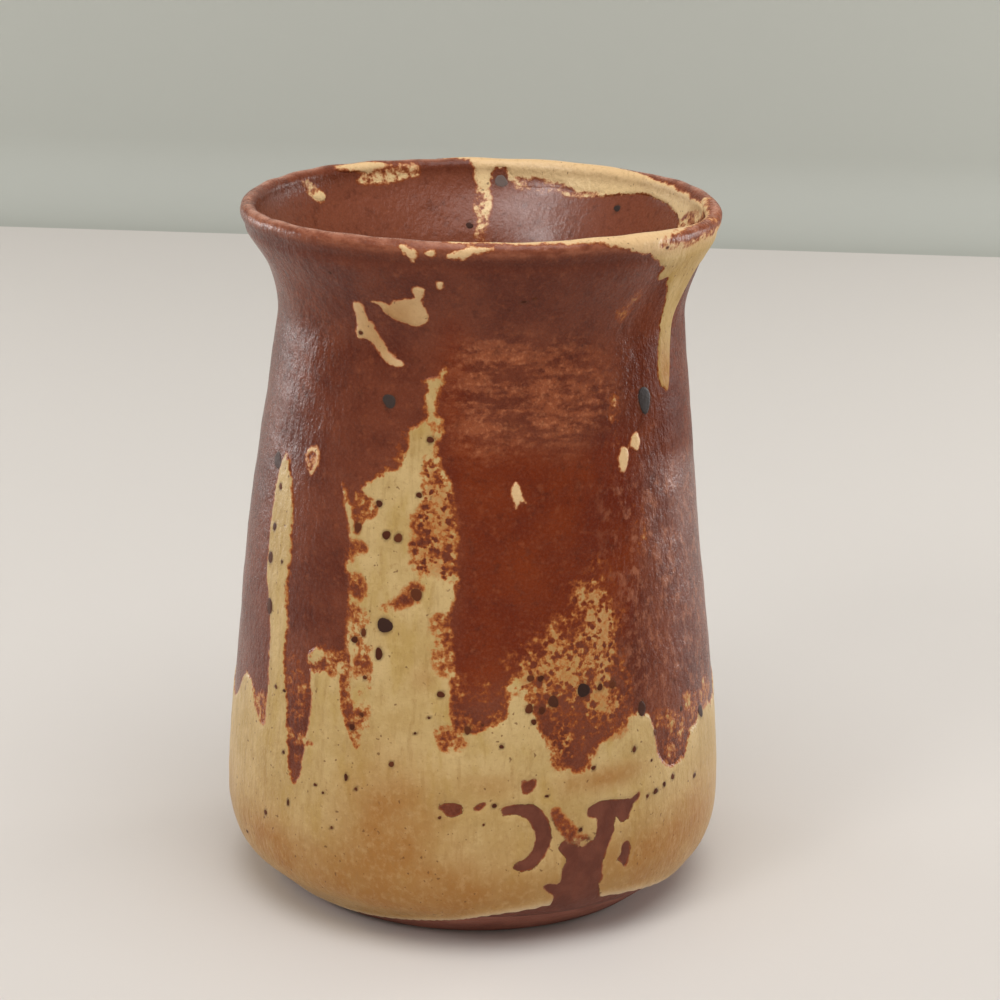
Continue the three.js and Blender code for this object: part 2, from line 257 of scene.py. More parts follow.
# Bare places in the skirt: angle and height
BARE_PLACES = {
    "crescent": [
        (6.4, 33.2), (8.4, 33.9), (11.4, 34), (14, 33.4), (15.8, 31.4), (17.2, 28.4), (17.5, 25.4),
        (16.2, 23), (13.8, 20.4), (11.4, 19.6), (9.2, 20), (9.5, 21.3), (11.8, 22), (13.6, 24.2),
        (14, 27), (12.8, 30), (10.6, 31.6), (8, 32), (6.6, 31.8),
    ],
    "fork": [
        (17, 4), (18.6, 11.4), (18.6, 13.2), (16, 15.2), (17.4, 15.9), (19.8, 15.9), (20.3, 19),
        (21.2, 21.4), (19.2, 23.6), (20.8, 25.2), (22.6, 24.2), (26, 24), (28.2, 24.8), (28.7, 27),
        (28.5, 29), (26.4, 29.8), (26.4, 31.4), (28.4, 32.2), (31, 32.4), (35, 31.8), (38.4, 31.7),
        (40.6, 32.5), (40, 31), (38.2, 29.6), (37, 27.6), (35, 27), (33.8, 28.4), (33, 27.4),
        (33.1, 25.2), (31.5, 22.8), (30.4, 20), (30, 17.6), (30.2, 15.6), (29.6, 14), (30.3, 11.4),
        (31, 4),
    ],
    "teardrop": [
        (35.4, 22), (36.9, 22.3), (37.4, 20), (36.2, 16.9), (35.4, 18.2), (34.2, 19), (35.2, 20),
    ],
    "chip": [(10.9, 39), (12.2, 38.7), (13.8, 39.2), (13.5, 37.4), (12.2, 36.2), (11, 36.6)],
    "blotch": [
        (-7.6, 33.4), (-6, 34.2), (-3.2, 34.1), (-2, 33), (-3.4, 31.8), (-5.4, 31.6), (-6.6, 32.6),
    ],
    "smear": [(0.4, 33.3), (1.6, 34.3), (2.9, 34.5), (1.4, 33.2)],
    "seam": [
        (-32.2, 62.4), (-30.8, 62.4), (-30.4, 57), (-29.4, 52.4), (-27.8, 48.4), (-27, 44.6),
        (-28.2, 45.6), (-29.8, 49.6), (-31.4, 53.6), (-31.8, 57.6),
    ],
    "curl": [
        (-42, 58), (-39.6, 57.4), (-37, 58.6), (-36.8, 60.4), (-37.8, 60.2), (-38.6, 58.8), (-41.6, 58.9),
    ],
}

# Those where the clay shows, and those that run out raggedly, with no crisp edge
CLAY_PLACES = ["crescent", "fork", "teardrop"]
RAGGED_PLACES = ["seam", "curl"]

# Splashes, drops and runs on the outside: angle and height
SHOULDER_SPLASH = [
    (-28.6, 135.6), (-26, 135.9), (-23.4, 135.3), (-21.6, 136.6), (-18, 137.4), (-16.2, 137.7),
    (-16.5, 139.4), (-15, 139.9), (-13.4, 139.5), (-14.4, 137), (-13.3, 134.6), (-13.3, 132.6),
    (-14.8, 131.4), (-17.6, 131), (-20.6, 131.8), (-23.2, 132.4), (-25, 133.6), (-26.6, 135),
]
SHOULDER_DROP = [(-10.5, 141.3), (-9, 141.4), (-9.2, 140.2), (-9.8, 139.7)]
SLANTING_SPLASH = [
    (-34.4, 134.6), (-32.4, 134.9), (-31.2, 134), (-30.8, 131.6), (-29, 130.2), (-27.2, 127.8),
    (-25.4, 125.4), (-23, 124), (-20.6, 123.4), (-20.3, 122.5), (-22.6, 122), (-26, 123.2), (-28, 125.2),
    (-30.4, 126.6), (-32.6, 127), (-34.4, 126.8), (-34.8, 128.4), (-34.4, 130.6),
]
LEFT_DROP = [
    (-48.8, 101), (-48, 102.6), (-46, 102.8), (-44.4, 103), (-43.8, 100.6), (-44.7, 99), (-46.2, 97.4),
    (-47.3, 98.6),
]
CENTRE_DROP = [
    (8.8, 98), (9.2, 99.8), (10.4, 100.2), (11.6, 98.6), (12.2, 97), (13, 95.7), (11.4, 95.9),
    (10.2, 94.6), (9.6, 96),
]
RIGHT_DROP_UPPER = [(42.5, 105.2), (43.6, 107), (45.4, 107.3), (46.5, 105.4), (45.4, 103.4), (43.4, 104)]
RIGHT_DROP_LOWER = [
    (38.2, 103), (39, 104.6), (40.5, 105), (41.8, 104.2), (42, 102), (40.8, 100), (39.2, 100.2),
]
RIM_RUN = [
    (40, 147.4), (43.5, 145), (46.4, 143.6), (48.4, 142.2), (47.6, 140.6), (49.4, 139.2), (52.4, 139.4),
    (54, 137.6), (55.8, 135.8), (57.4, 133.4), (58.2, 130.6), (57.7, 128.4), (58.2, 126), (57.2, 123.4),
    (56.3, 120.6), (55.7, 118), (56.6, 115.6), (58.4, 114.5), (60.4, 113.7), (62, 115.4), (63, 118),
    (64, 121.6), (65.4, 125), (66.4, 128.6), (67.6, 131.6), (69.6, 134.6), (72.4, 137.2), (77, 138.6),
    (83, 138.6), (90, 140), (96, 143), (93, 146.6), (84, 147.2), (72, 147.3), (64, 147.8), (58, 147.2),
    (52, 146.8), (48, 147.8),
]
FRONT_LIP_PATCHES = [
    [
        (-18.8, 148.9), (-16.6, 149), (-14.7, 148.4), (-14.6, 146.6), (-15.4, 145.4), (-16.4, 146.2),
        (-17.4, 147.4),
    ],
    [(-12.8, 147.9), (-10.8, 148.6), (-10.6, 147.2), (-12, 146.8)],
    [
        (-7.4, 146.8), (-4, 147), (-1.4, 148), (1.4, 148.6), (2.6, 149.3), (-2, 149.5), (-6, 148.4),
        (-7.8, 147.6),
    ],
]

# Glaze over the lip and inside the mouth: angle and reach
LIP_LINE = [
    (-9, 0.4), (-2, 0.7), (6, 0.9), (16, 1.1), (25, 1.5), (31, 2.6), (36, 3.8), (42, 5.0), (48, 4.4),
    (51, 2.2), (56, 0.7), (64, 0), (74, -0.4), (84, -0.4), (91, 0.8), (96, 0.7), (99, -1.2), (92, -3),
    (80, -2.8), (66, -2.4), (54, -2), (44, -1.3), (30, -0.8), (12, -0.6), (2, -0.5), (-7, -0.3),
]
INNER_BAND = [
    (93, -2.6), (92, -6.4), (97, -9.4), (104, -10), (110, -8), (116, -6.3), (122, -5.7), (127.5, -5.3),
    (134, -5.8), (140, -6.9), (146, -7.6), (151.5, -7.4), (155, -6.8), (160.6, -6.7), (166.5, -7),
    (170.6, -6.6), (172, -4.6), (173.6, -2.8), (176.6, -2.8), (178, -5.6), (178.6, -12), (179.4, -18),
    (180.2, -21.6), (181.4, -21), (181.6, -13), (182, -5), (184, -1.2), (193, 0.6), (178, 0.9),
    (160, 0.6), (146, 0.2), (134, -0.6), (127, -1.4), (118, -1.8), (106, -2.2),
]
INNER_LEFT_PATCH = [
    (198.8, -2.6), (199.2, -4.2), (202.8, -4.2), (206.3, -4.9), (210, -5.2), (213.7, -5.3), (216.6, -4.5),
    (215, -3.8), (214.4, -3), (218.1, -2.6), (222, -2.4), (224.5, -1.6), (222.4, -0.5), (217.3, -0.2),
    (212.8, -0.3), (209.5, -0.9), (206.1, -1.5), (201, -2),
]
INNER_LEFT_SPOT = [
    (237.3, -2.7), (235, -3.4), (232.7, -4.8), (230.3, -6.2), (229.5, -7.4), (231.4, -8), (233.7, -7.4),
    (235.4, -6.2), (236.6, -4.6),
]

# Where cream and iron glaze mingle: outline as angle and height, share of cream, and width of the soft edge.
# A later one lies over those before it.
MOTTLES = [
    ([(-13.4, 112), (-9, 112), (-9.4, 104), (-4.8, 98), (-3.4, 89), (-3.6, 80.6), (-10, 80.2),
      (-15.4, 83), (-15.2, 90), (-16.8, 92.4), (-13.6, 95), (-13.6, 100), (-14.4, 104),
      (-11.6, 107.5)], 0.62, 1.8),
    ([(-11.5, 79.5), (-11.6, 76), (-15, 74.4), (-20, 72.4), (-22.4, 73.6), (-18, 76.2),
      (-15, 79.4)], 0.5, 1.4),
    ([(-31.6, 94), (-29.6, 96.4), (-26.5, 95.6), (-24, 94), (-25, 91.5), (-27.6, 90.4), (-29, 87.4),
      (-30.8, 88)], 0.34, 0.9),
    ([(-31.8, 86), (-28, 86.4), (-25.8, 85), (-28.4, 83.2), (-31.6, 81.4)], 0.36, 1.5),
    ([(-31.6, 79.8), (-28, 79.8), (-25.6, 77), (-26.8, 74.2), (-31, 75)], 0.36, 1.5),
    ([(-31, 73), (-27, 73), (-24, 70), (-24, 46), (-28, 46), (-29, 62)], 0.74, 1.6),
    ([(-24, 102), (-21, 106), (-19.8, 110.6), (-17.6, 110), (-17.4, 105), (-20, 101.6)], 0.45, 0.9),
    ([(-5.8, 64), (-4, 61), (0, 62), (3.5, 61), (6.6, 59), (7, 52), (3, 50.2), (-1, 48.6), (-4.8, 51),
      (-5.2, 57)], 0.3, 1.0),
    ([(-9, 49.8), (-4, 50.6), (-1, 48.6), (-2, 45.6), (-7, 45)], 0.66, 1.0),
    ([(-10, 72.4), (-5.6, 73), (-4.4, 66), (-4.8, 60.6), (-8.4, 61), (-10.4, 66)], 0.56, 1.2),
    ([(4, 63), (9, 68), (14, 73), (20, 77), (24, 80), (28.8, 84), (34, 83), (38, 76), (40, 64), (40, 54),
      (38, 48), (30, 45.6), (26.6, 43), (25, 41), (19, 41.6), (17, 46), (15.6, 51), (11, 56)], 0.28, 5.0),
    ([(8, 60), (13, 63), (18, 68), (24, 73), (28.8, 77), (33.4, 76), (35.4, 70), (36.4, 58), (36, 50),
      (28, 51), (20, 53), (15, 54)], 0.58, 4.6),
    ([(29.6, 76), (32.6, 75), (34, 69), (34.2, 61), (31.4, 58), (30, 64)], 0.9, 2.2),
    ([(16, 66), (20, 71), (22, 66), (22, 58), (18, 57), (14, 58)], 0.78, 2.2),
    ([(9, 60.4), (14, 62), (19, 63), (23, 60), (22, 56), (18, 57), (12, 56)], 0.74, 1.8),
    ([(17.6, 50), (22, 49), (27, 49), (28, 45.6), (25, 41.4), (20, 41.2), (18, 44)], 0.28, 1.0),
    ([(46, 48.4), (52, 48.4), (58.6, 46), (60, 41), (57, 37.4), (51, 36), (47.6, 39.4)], 0.26, 1.2),
    ([(58, 50), (66, 48), (74, 50), (80, 46), (74, 42.6), (66, 43), (61, 41.4), (58.6, 44)], 0.42, 1.6),
    ([(-50.4, 60), (-46, 60), (-42.6, 56), (-40.8, 52), (-41.8, 44), (-43, 36), (-44.6, 32.4),
      (-46.8, 40), (-49.2, 52)], 0.2, 0.9),
    ([(-48, 44.4), (-40, 43), (-39.6, 41.4), (-47.4, 42)], 0.7, 0.7),
    ([(-59.6, 49), (-57, 48), (-56.4, 42), (-60, 42), (-63, 46)], 0.4, 1.2),
    ([(-32.6, 63), (-29.8, 62.6), (-28.6, 53), (-26.4, 44), (-28.4, 44.4), (-31.6, 53)], 0.36, 0.6),
    ([(-37.4, 64), (-34, 63.6), (-31.6, 61.6), (-34, 57), (-36.6, 59)], 0.4, 0.9),
    ([(17.4, 32.6), (19.2, 32.6), (21.6, 30), (24, 27.4), (27, 25), (25, 23.2), (22, 23.4), (20.4, 26),
      (18.4, 28.8), (17.2, 31)], 0.3, 1.1),
    ([(36, 116), (39.4, 115), (40, 107), (38, 103), (36, 108)], 0.26, 1.2),
    ([(43, 93), (48, 92), (49, 84), (45, 81), (42, 86)], 0.26, 2.2),
    ([(-48.2, 100.6), (-47.4, 102), (-45, 102.4), (-44.4, 100.6), (-45.4, 98.6), (-46.2, 97.8),
      (-47.2, 99)], 0.32, 0.5),
    ([(43.4, 138.4), (45, 136.8), (42.8, 133.4), (40, 130.6), (36.8, 131.8), (37, 133.8),
      (39.5, 135.9)], 0.52, 1.7),
    ([(95, 50), (99, 62), (104, 68), (108, 64), (112, 52), (108, 47), (100, 46)], 0.52, 2.4),
    ([(122, 45), (129, 44), (128, 37), (123, 37)], 0.26, 1.6),
    ([(139, 54), (142, 66), (147, 77), (152, 70), (157, 54), (153, 49), (143, 49)], 0.6, 2.6),
    ([(164.6, 46), (171.6, 45), (170, 38), (166, 38)], 0.3, 1.6),
    ([(207, 55), (210, 72), (213, 84), (217, 88), (220, 80), (223, 62), (222, 52), (212, 50)], 0.66, 2.4),
    ([(158, 52), (172, 52), (180, 58), (190, 58), (197, 49), (186, 44), (174, 45)], 0.42, 2.6),
    ([(233, 46), (239.6, 45), (238.6, 38.4), (234.6, 38.6)], 0.28, 1.6),
]

# The same on the lip and inside the mouth: outline as angle and reach
LIP_MOTTLES = [
    ([(197.6, -1.6), (198.4, -5), (206, -5.8), (213, -6.2), (218, -5), (215, -3.4), (211, -2.2),
      (206, -1.2), (201, -1.2)], 0.66, 1.0),
    ([(238, -2), (234.4, -2.8), (232, -5), (233.4, -6.2), (236, -6), (237.4, -4.4)], 0.44, 0.8),
    ([(44, 3), (50, 0.2), (60, -1.2), (70, -1.8), (84, -2.4), (98, -1.8), (99, 6), (88, 5), (78, 5.2),
      (66, 4.6), (56, 5.2), (47, 4.8)], 0.82, 1.0),
    ([(48, 2.4), (52, 1.4), (57, 0.6), (63, 0), (70, -0.5), (84, -1), (96, -0.2), (97, 4.6), (88, 3.4),
      (80, 3.6), (70, 2.8), (62, 3), (55, 3.6), (50, 3.4)], 0.1, 0.8),
    ([(177, -8), (182.4, -8), (182.4, -15), (178, -15)], 0.86, 1.0),
    ([(178, -15), (182.4, -15), (182.4, -24), (178, -24)], 0.56, 1.6),
    ([(156, -5.4), (160, -8), (168, -8.2), (172.6, -6.4), (172, -4), (164, -4.6)], 0.62, 1.0),
    ([(90, -4), (90, -8), (98, -11), (108, -11), (106, -6), (98, -3.4)], 0.55, 1.0),
    ([(144, -6.6), (151, -8.8), (158, -8), (158, -6), (150, -6.4)], 0.62, 0.9),
]

# Parts with a look of their own: outlines as angle and height, each with the width of its soft edge.
# Deep red, brushed lighter, flecked upright, wrinkled, netted with dark dots where glazes mingle, and dull.
PATCHES = {
    "deep": [
        ([(-9, 131), (-4, 129), (-2, 110), (12, 107), (26, 105), (40, 109), (46, 99), (44, 80), (40, 66),
          (30, 70), (12, 62), (0, 57), (-6, 60), (-3, 76), (-4, 92), (-9, 104), (-10, 120)], 4.0),
    ],
    "brushed": [
        ([(-6, 126), (4, 130), (16, 128), (27, 127), (36, 121), (38, 114), (31, 109), (22, 106),
          (10, 107), (0, 105), (-6, 110)], 4.5),
    ],
    "flecked": [
        ([(35, 97), (50, 99), (70, 100), (88, 92), (104, 80), (112, 66), (108, 52), (88, 47), (60, 46),
          (48, 49), (38, 56), (35, 75)], 6.0),
    ],
    "wrinkled": [
        ([(-100, 150), (-70, 150), (-54, 146), (-42, 131), (-46, 112), (-58, 100), (-70, 60),
          (-100, 60)], 6.0),
        ([(100, 142), (74, 139), (64, 130), (61, 114), (66, 103), (80, 98), (100, 96)], 5.0),
    ],
    "netted": [
        ([(5, 62), (12, 67), (18, 71), (24, 77), (29, 83), (34, 82), (38, 74), (40, 60), (38, 49),
          (30, 46), (24, 42), (18, 44), (15, 52), (9, 58)], 3.0),
        ([(-14, 104), (-9, 104), (-4.6, 98), (-3.4, 88), (-4, 80), (-12, 80), (-15.6, 85),
          (-13.8, 96)], 2.0),
    ],
    "dull": [
        ([(100, 150), (60, 150), (52, 143), (44, 134), (42, 118), (44, 104), (56, 98), (76, 96),
          (100, 94)], 5.0),
    ],
}

# Tan clouds in the cream: strength, angle, half width in degrees, height, and half width in millimetres.
# The one that is wider than a turn goes all the way round and makes the cream darker towards the foot.
TAN_CLOUDS = [
    (1.0, -18, 11, 30, 12), (0.75, -14, 22, 14, 6), (0.6, -52, 14, 16, 6), (0.6, 42, 15, 18, 7),
    (0.5, 4, 6, 38, 3), (0.9, 31, 11, 37.4, 2.6), (0.5, 62, 14, 22, 8), (0.4, -11, 3, 60, 3),
    (0.6, 120, 24, 20, 9), (0.8, 200, 20, 26, 11), (0.6, 250, 20, 16, 6), (0.5, 160, 18, 14, 5),
    (0.5, -20, 9, 134, 6), (0.6, -28, 9, 128, 7), (0.5, 0, 900, 12, 16), (0.9, 60, 5, 116, 8),
]

# The shiny place inside the mouth: strength, angle, half width in degrees, reach, half width in millimetres
SHEEN = (1.0, 161.0, 15.0, -12.0, 8.0)

# Iron spots: angle, height, radius, and, where it isn't round and brown, how tall for its width and how
# blue. Past 1, the blue turns to a paler grey.
ROUND_BROWN = [1, 0]
SPOTS = [
    (-20.8, 70, 1.75, 1.05, 0.7), (-21.4, 88.4, 0.95, 1.1), (-18.3, 88.1, 1.0), (-22.1, 64, 0.95, 1.4),
    (-13.2, 77, 1.35), (-13.8, 97.1, 0.65), (-11.9, 108.3, 0.75), (-29.4, 89, 0.9, 1.3),
    (-28.6, 66, 0.85, 0.9), (-26.3, 67.8, 0.7, 1.3), (-24, 94.5, 0.9, 0.8), (-26, 50.8, 0.5),
    (-25.6, 58.6, 0.5), (-28.4, 47.8, 0.65, 1.2), (-18.3, 41.5, 0.65), (-13, 48.6, 0.3),
    (-1.3, 49.8, 0.8, 1.1), (2, 50.9, 0.35), (6.2, 46.4, 0.5, 0.9), (13.2, 60.2, 0.8), (15.6, 60, 0.7),
    (12.6, 54, 0.95, 1.1), (15.6, 53.4, 0.85), (13.6, 51.2, 0.65), (18.4, 55, 1.2, 1.2, 0.4),
    (26, 56.6, 1.45, 1.2, 0.7), (34, 56.6, 0.95, 0.9), (30.4, 56.6, 0.75), (42.3, 50, 1.35, 1.2, 0.5),
    (49, 113.5, 2.3, 1.3, 1), (67.3, 43, 1.3, 1.2, 0.5), (-58, 92.7, 0.65, 1.2), (-58.8, 84, 0.75, 1.3),
    (-59.4, 77.3, 1.15, 1.2, 0.2), (-58.2, 67, 1.5, 1.2, 0.2), (-53.8, 77.6, 0.4), (-52.8, 51, 0.5),
    (-49.5, 51, 0.45, 0.8), (-54.3, 22.8, 0.65), (-65.6, 14.4, 0.7, 0.6, 0.3), (45.4, 31.4, 0.8, 0.8),
    (42.7, 31, 0.5, 0.8), (48.4, 32.2, 0.55, 1.1), (51.6, 33, 0.6, 1.2), (61.8, 30.2, 0.75, 0.8),
    (27.8, 40, 0.6, 0.8), (39, 42, 0.55, 1.3), (44.4, 38.4, 0.4, 0.8), (46.2, 44, 0.6, 1.2),
    (-48.2, 38, 0.45, 0.9), (-37.6, 33.6, 0.5, 0.8), (-35.3, 32.4, 0.35), (-46, 27.5, 0.4, 2),
    (-32.7, 25.4, 0.35), (-29.3, 37, 0.5, 1.6), (-26.6, 35, 0.4), (-7.3, 57, 0.85, 0.9), (-9.9, 52, 0.3),
    (-7.2, 31.2, 0.4), (4.7, 34, 0.6, 0.8), (2.4, 30, 0.3), (16.4, 35.4, 0.5, 0.6),
    (-61.8, 97.5, 1.7, 1.2, 0.6), (-33.2, 128.2, 0.55, 0.9), (10.4, 137.3, 0.6, 0.5), (13, 138, 0.6, 0.5),
    (-38.6, 141, 0.4), (-23.6, 115.2, 1.65, 0.9, 1.16), (68, 72, 0.5, 0.8), (57, 46.4, 0.5, 1.4, 0.3),
    (47.2, 147, 0.45, 0.8), (24.4, 27.2, 0.5), (97, 31, 0.7), (112, 40, 1.1, 1.1, 0.3), (118, 24, 0.5),
    (131, 52, 1.3, 1.2, 0.6), (136, 33, 0.6), (147, 60, 0.9), (152, 41, 1.0, 1.1), (158, 86, 0.8, 1, 0.4),
    (166, 27, 0.5), (173, 48, 1.2, 1.1, 0.5), (186, 38, 0.7), (192, 104, 1.5, 1.2, 1), (199, 54, 0.8),
    (208, 31, 0.5), (214, 66, 1.2, 1.1, 0.2), (218, 73, 0.7), (227, 43, 0.9), (236, 61, 1.0, 1.2, 0.5),
    (243, 29, 0.5), (252, 38, 0.8),
]

# Those inside the mouth: angle, reach, radius, how tall, and how blue; the first one's pale grey is partly
# painted sheen
INNER_SPOTS = [(174.9, -5.7, 1.55, 0.85, 1.8), (184, -16.4, 0.8, 0.9, 0.4), (137.6, -9.6, 0.9, 0.9, 1.1)]

# Viewpoint: distance from the middle of the jug and that middle, in metres, tilts in degrees, focal length
# and frame width in pixels, sensor width in millimetres, and the nearest that is drawn, in metres
VIEW_DISTANCE = 0.6
VIEW_CENTRE = Vector((0.0, 0.0, 0.075))
VIEW_DOWN = 16.78
VIEW_YAW = 0.46
VIEW_PITCH = 0.77
VIEW_ROLL = 0.93
FOCAL_PIXELS = 2756.0
FRAME_PIXELS = 1000.0
SENSOR = 36.0
NEAR_CLIP = 0.01

# Studio, in metres: how far back the backdrop is, its cove and height, half the width, where the floor
# begins in front, how far back it all goes for each metre to the right, and how rough it is
STAGE_BACK = 0.785
STAGE_COVE = 0.04
STAGE_COVE_STEPS = 13
STAGE_RISE = 1.6
STAGE_HALF = 4.0
STAGE_FRONT = -3.0
STAGE_LEAN = -0.075
STAGE_ROUGHNESS = 0.75

# Lamps: place and width in metres, and power in watts, and the even fill
LAMPS = {
    "overhead": ((0.1, -0.4, 1.3), 1.3, 13.6),
    "window": ((-0.66, -0.82, 0.82), 0.36, 2.7),
    "left_edge": ((-0.8, 0.48, 0.15), 0.34, 2.9),
    "right_edge": ((0.8, 0.45, 0.15), 0.34, 3.8),
}
FILL_COLOUR = (1.0, 0.98, 0.95, 1.0)
FILL_STRENGTH = 0.4


def smoothstep(low, high, value):
    share = np.clip((value - low) / (high - low), 0.0, 1.0)
    return share * share * (3.0 - 2.0 * share)


def ridge(value, middle, width):
    """1 at the middle, falling off smoothly to both sides."""
    return np.exp(-((value - middle) / width) ** 2)


def turned_from(angle, middle):
    """How far an angle is turned from another, from -180 to 180 degrees."""
    return (angle - middle + 180.0) % 360.0 - 180.0


def bulge(form, angle, height):
    """A soft bulge: how strong, angle and half width in degrees, height and half width in millimetres."""
    strength, middle, turn, middle_height, width = form
    return strength * ridge(turned_from(angle, middle), 0.0, turn) * ridge(height, middle_height, width)


def bezier(points, steps=48):
    """Points along a Bezier curve of any degree."""
    share = np.linspace(0.0, 1.0, steps)[:, None]
    level = [np.array(point, float) for point in points]
    while len(level) > 1:
        level = [a * (1.0 - share) + b * share for a, b in zip(level[:-1], level[1:])]
    return level[0]


def arc(centre, radius, start, end, steps=32):
    turn = np.radians(np.linspace(start, end, steps))
    return np.array(centre) + radius * np.stack([np.cos(turn), np.sin(turn)], 1)


def eased(low, high, ease_low, ease_high):
    """A curve between two points of the section that is upright at both."""
    return bezier([low, (low[0], low[1] + ease_low), (high[0], high[1] - ease_high), high])


def wall_section():
    """Radius and height along the wall, from the bevel over the lip to the floor's middle, and reach."""
    lip_base = HEIGHT - LIP_ROUND
    lip_middle = (LIP_RADIUS - LIP_ROUND, lip_base)
    belly = (BELLY_RADIUS, BELLY_HEIGHT)
    neck = (NECK_RADIUS, NECK_HEIGHT)
    lip = (LIP_RADIUS, lip_base)
    inner_belly = (BELLY_RADIUS - WALL, FLOOR + FLOOR_ROUND)
    inner_neck = (NECK_RADIUS - WALL, NECK_HEIGHT)
    mouth = (LIP_RADIUS - 2.0 * LIP_ROUND, lip_base)
    points = np.vstack([
        bezier([BEVEL_FOOT, GLAZE_EDGE]),
        bezier([GLAZE_EDGE, BEVEL_BEND, (BELLY_RADIUS, BELLY_START), belly]),
        eased(belly, neck, BELLY_EASE, NECK_EASE_BELOW),
        eased(neck, lip, NECK_EASE_ABOVE, LIP_EASE),
        arc(lip_middle, LIP_ROUND, 0, 90),
        arc(lip_middle, LIP_ROUND, 90, 180),
        eased(inner_neck, mouth, NECK_EASE_ABOVE, LIP_EASE)[::-1],
        eased(inner_belly, inner_neck, BELLY_EASE, NECK_EASE_BELOW)[::-1],
        arc((inner_belly[0] - FLOOR_ROUND, inner_belly[1]), FLOOR_ROUND, 0, -90),
        [(0.0, FLOOR)],
    ])
    step = np.hypot(*np.diff(points, axis=0).T)
    points = points[np.concatenate([[True], step > SAME_POINT])]
    along = np.concatenate([[0.0], np.cumsum(np.hypot(*np.diff(points, axis=0).T))])
    crest = along[np.argmax(points[:, 1])]
    return points, crest - along


SECTION, REACH = wall_section()
LOWEST_REACH = REACH[0]
FLOOR_REACH = REACH[-1]
OUTSIDE = REACH >= 0.0


def section_at(reach):
    """Radius, height and outward direction of the wall at a reach."""
    def point(at):
        return [np.interp(-at, -REACH, part) for part in SECTION.T]

    radius, height = point(reach)
    ahead = point(np.clip(reach - SLOPE_STEP, FLOOR_REACH, LOWEST_REACH))
    behind = point(np.clip(reach + SLOPE_STEP, FLOOR_REACH, LOWEST_REACH))
    along_r, along_z = np.subtract(ahead, behind)
    size = np.hypot(along_r, along_z)
    return radius, height, along_z / size, -along_r / size


def reach_of(height):
    """Reach of a height on the outside of the wall."""
    return np.interp(height, SECTION[OUTSIDE, 1], REACH[OUTSIDE])


COAT_REACH = float(reach_of(GLAZE_EDGE[1]))


def on_wall(outline):
    """An outline given as angle and height, as angle and reach."""
    return [(angle, float(reach_of(height))) for angle, height in outline]


def waves(points, tall, size, seed):
    """Smooth lumps of a height and about a size, made of plane waves in set directions."""
    chance = np.random.default_rng(seed)
    direction = chance.normal(size=(WAVE_COUNT, 3))
    direction /= np.linalg.norm(direction, axis=1)[:, None]
    phase = chance.uniform(0.0, 2.0 * math.pi, WAVE_COUNT)
    total = np.zeros(len(points))
    for way, start in zip(direction, phase):
        total += np.cos(points @ way * (2.0 * math.pi / size) + start)
    return tall * (total * math.sqrt(2.0 / WAVE_COUNT))


def unevenness(angle, reach, points):
    """How far the thrown wall stands proud of its true section, in millimetres."""
    height = points[:, 2]
    tall, apart = RINGS
    turn = height / apart + angle / 360.0
    rings = tall * np.cos(2.0 * math.pi * turn) * (1.0 + waves(points, *RING_FADE))
    depth, middle, width = LIP_GROOVE
    groove = depth * ridge(height, middle, width)
    sunk = groove + bulge(RIGHT_DENT, angle, height) + bulge(LEFT_DENT, angle, height)
    return waves(points, *LUMPS) + waves(points, *DIMPLES) + rings - np.where(reach > 0.0, sunk, 0.0)


def smooth_round(points, soft):
    """A value that is given at some angles, smoothed, at every degree from -180."""
    values = np.interp(np.arange(-180.0, 180.0), *np.array(points, float).T)
    apart = np.minimum(np.arange(360.0), 360.0 - np.arange(360.0))
    weight = np.exp(-(apart / soft) ** 2)
    return np.real(np.fft.ifft(np.fft.fft(values) * np.fft.fft(weight / weight.sum())))


DIP_ROUND = smooth_round(LIP_DIP, DIP_SOFTNESS)


def turned_points(radius, turn, height):
    """Points at a radius and a height, turned from the side that faces the viewer by an angle in radians."""
    return np.stack(np.broadcast_arrays(radius * np.sin(turn), -radius * np.cos(turn), height), 1)


def place(angle, reach, proud):
    """Points in metres on the wall, standing proud of the iron glaze by a distance in millimetres."""
    angle, reach, proud = (part.astype(float).ravel() for part in np.broadcast_arrays(angle, reach, proud))
    radius, height, out_r, out_z = section_at(reach)
    turn = np.radians(angle)
    true = turned_points(radius, turn, height)
    off = proud + unevenness(angle, reach, true) * smoothstep(0.0, SMOOTH_FLOOR, radius)
    spread = SWELL * smoothstep(0.0, BELLY_RADIUS, radius) + bulge(LEFT_LIP, angle, height)
    radius = radius + out_r * off + spread
    height = height + out_z * off
    dip = np.interp(angle, np.arange(-180.0, 180.0), DIP_ROUND, period=360.0)
    dip = dip * smoothstep(NECK_HEIGHT, HEIGHT, height)
    ripple = waves(true, *LIP_WAVES) * smoothstep(HEIGHT - LIP_ZONE, HEIGHT, height)
    points = turned_points(radius, turn, height - dip - ripple)
    points[:, 0] -= WANDER * ridge(height, WANDER_HEIGHT, WANDER_SPREAD)
    return points * MM


def rounded(outline, steps=3):
    """A closed outline drawn smoothly through its points."""
    points = np.array(outline, float)
    before, after, beyond = (np.roll(points, shift, axis=0) for shift in (1, -1, -2))
    drawn = []
    for share in np.arange(steps) / steps:
        drawn.append(
            0.5 * (2.0 * points + (after - before) * share
                   + (2.0 * before - 5.0 * points + 4.0 * after - beyond) * share ** 2
                   + (3.0 * points - before - 3.0 * after + beyond) * share ** 3)
        )
    return np.stack(drawn, 1).reshape(-1, 2)


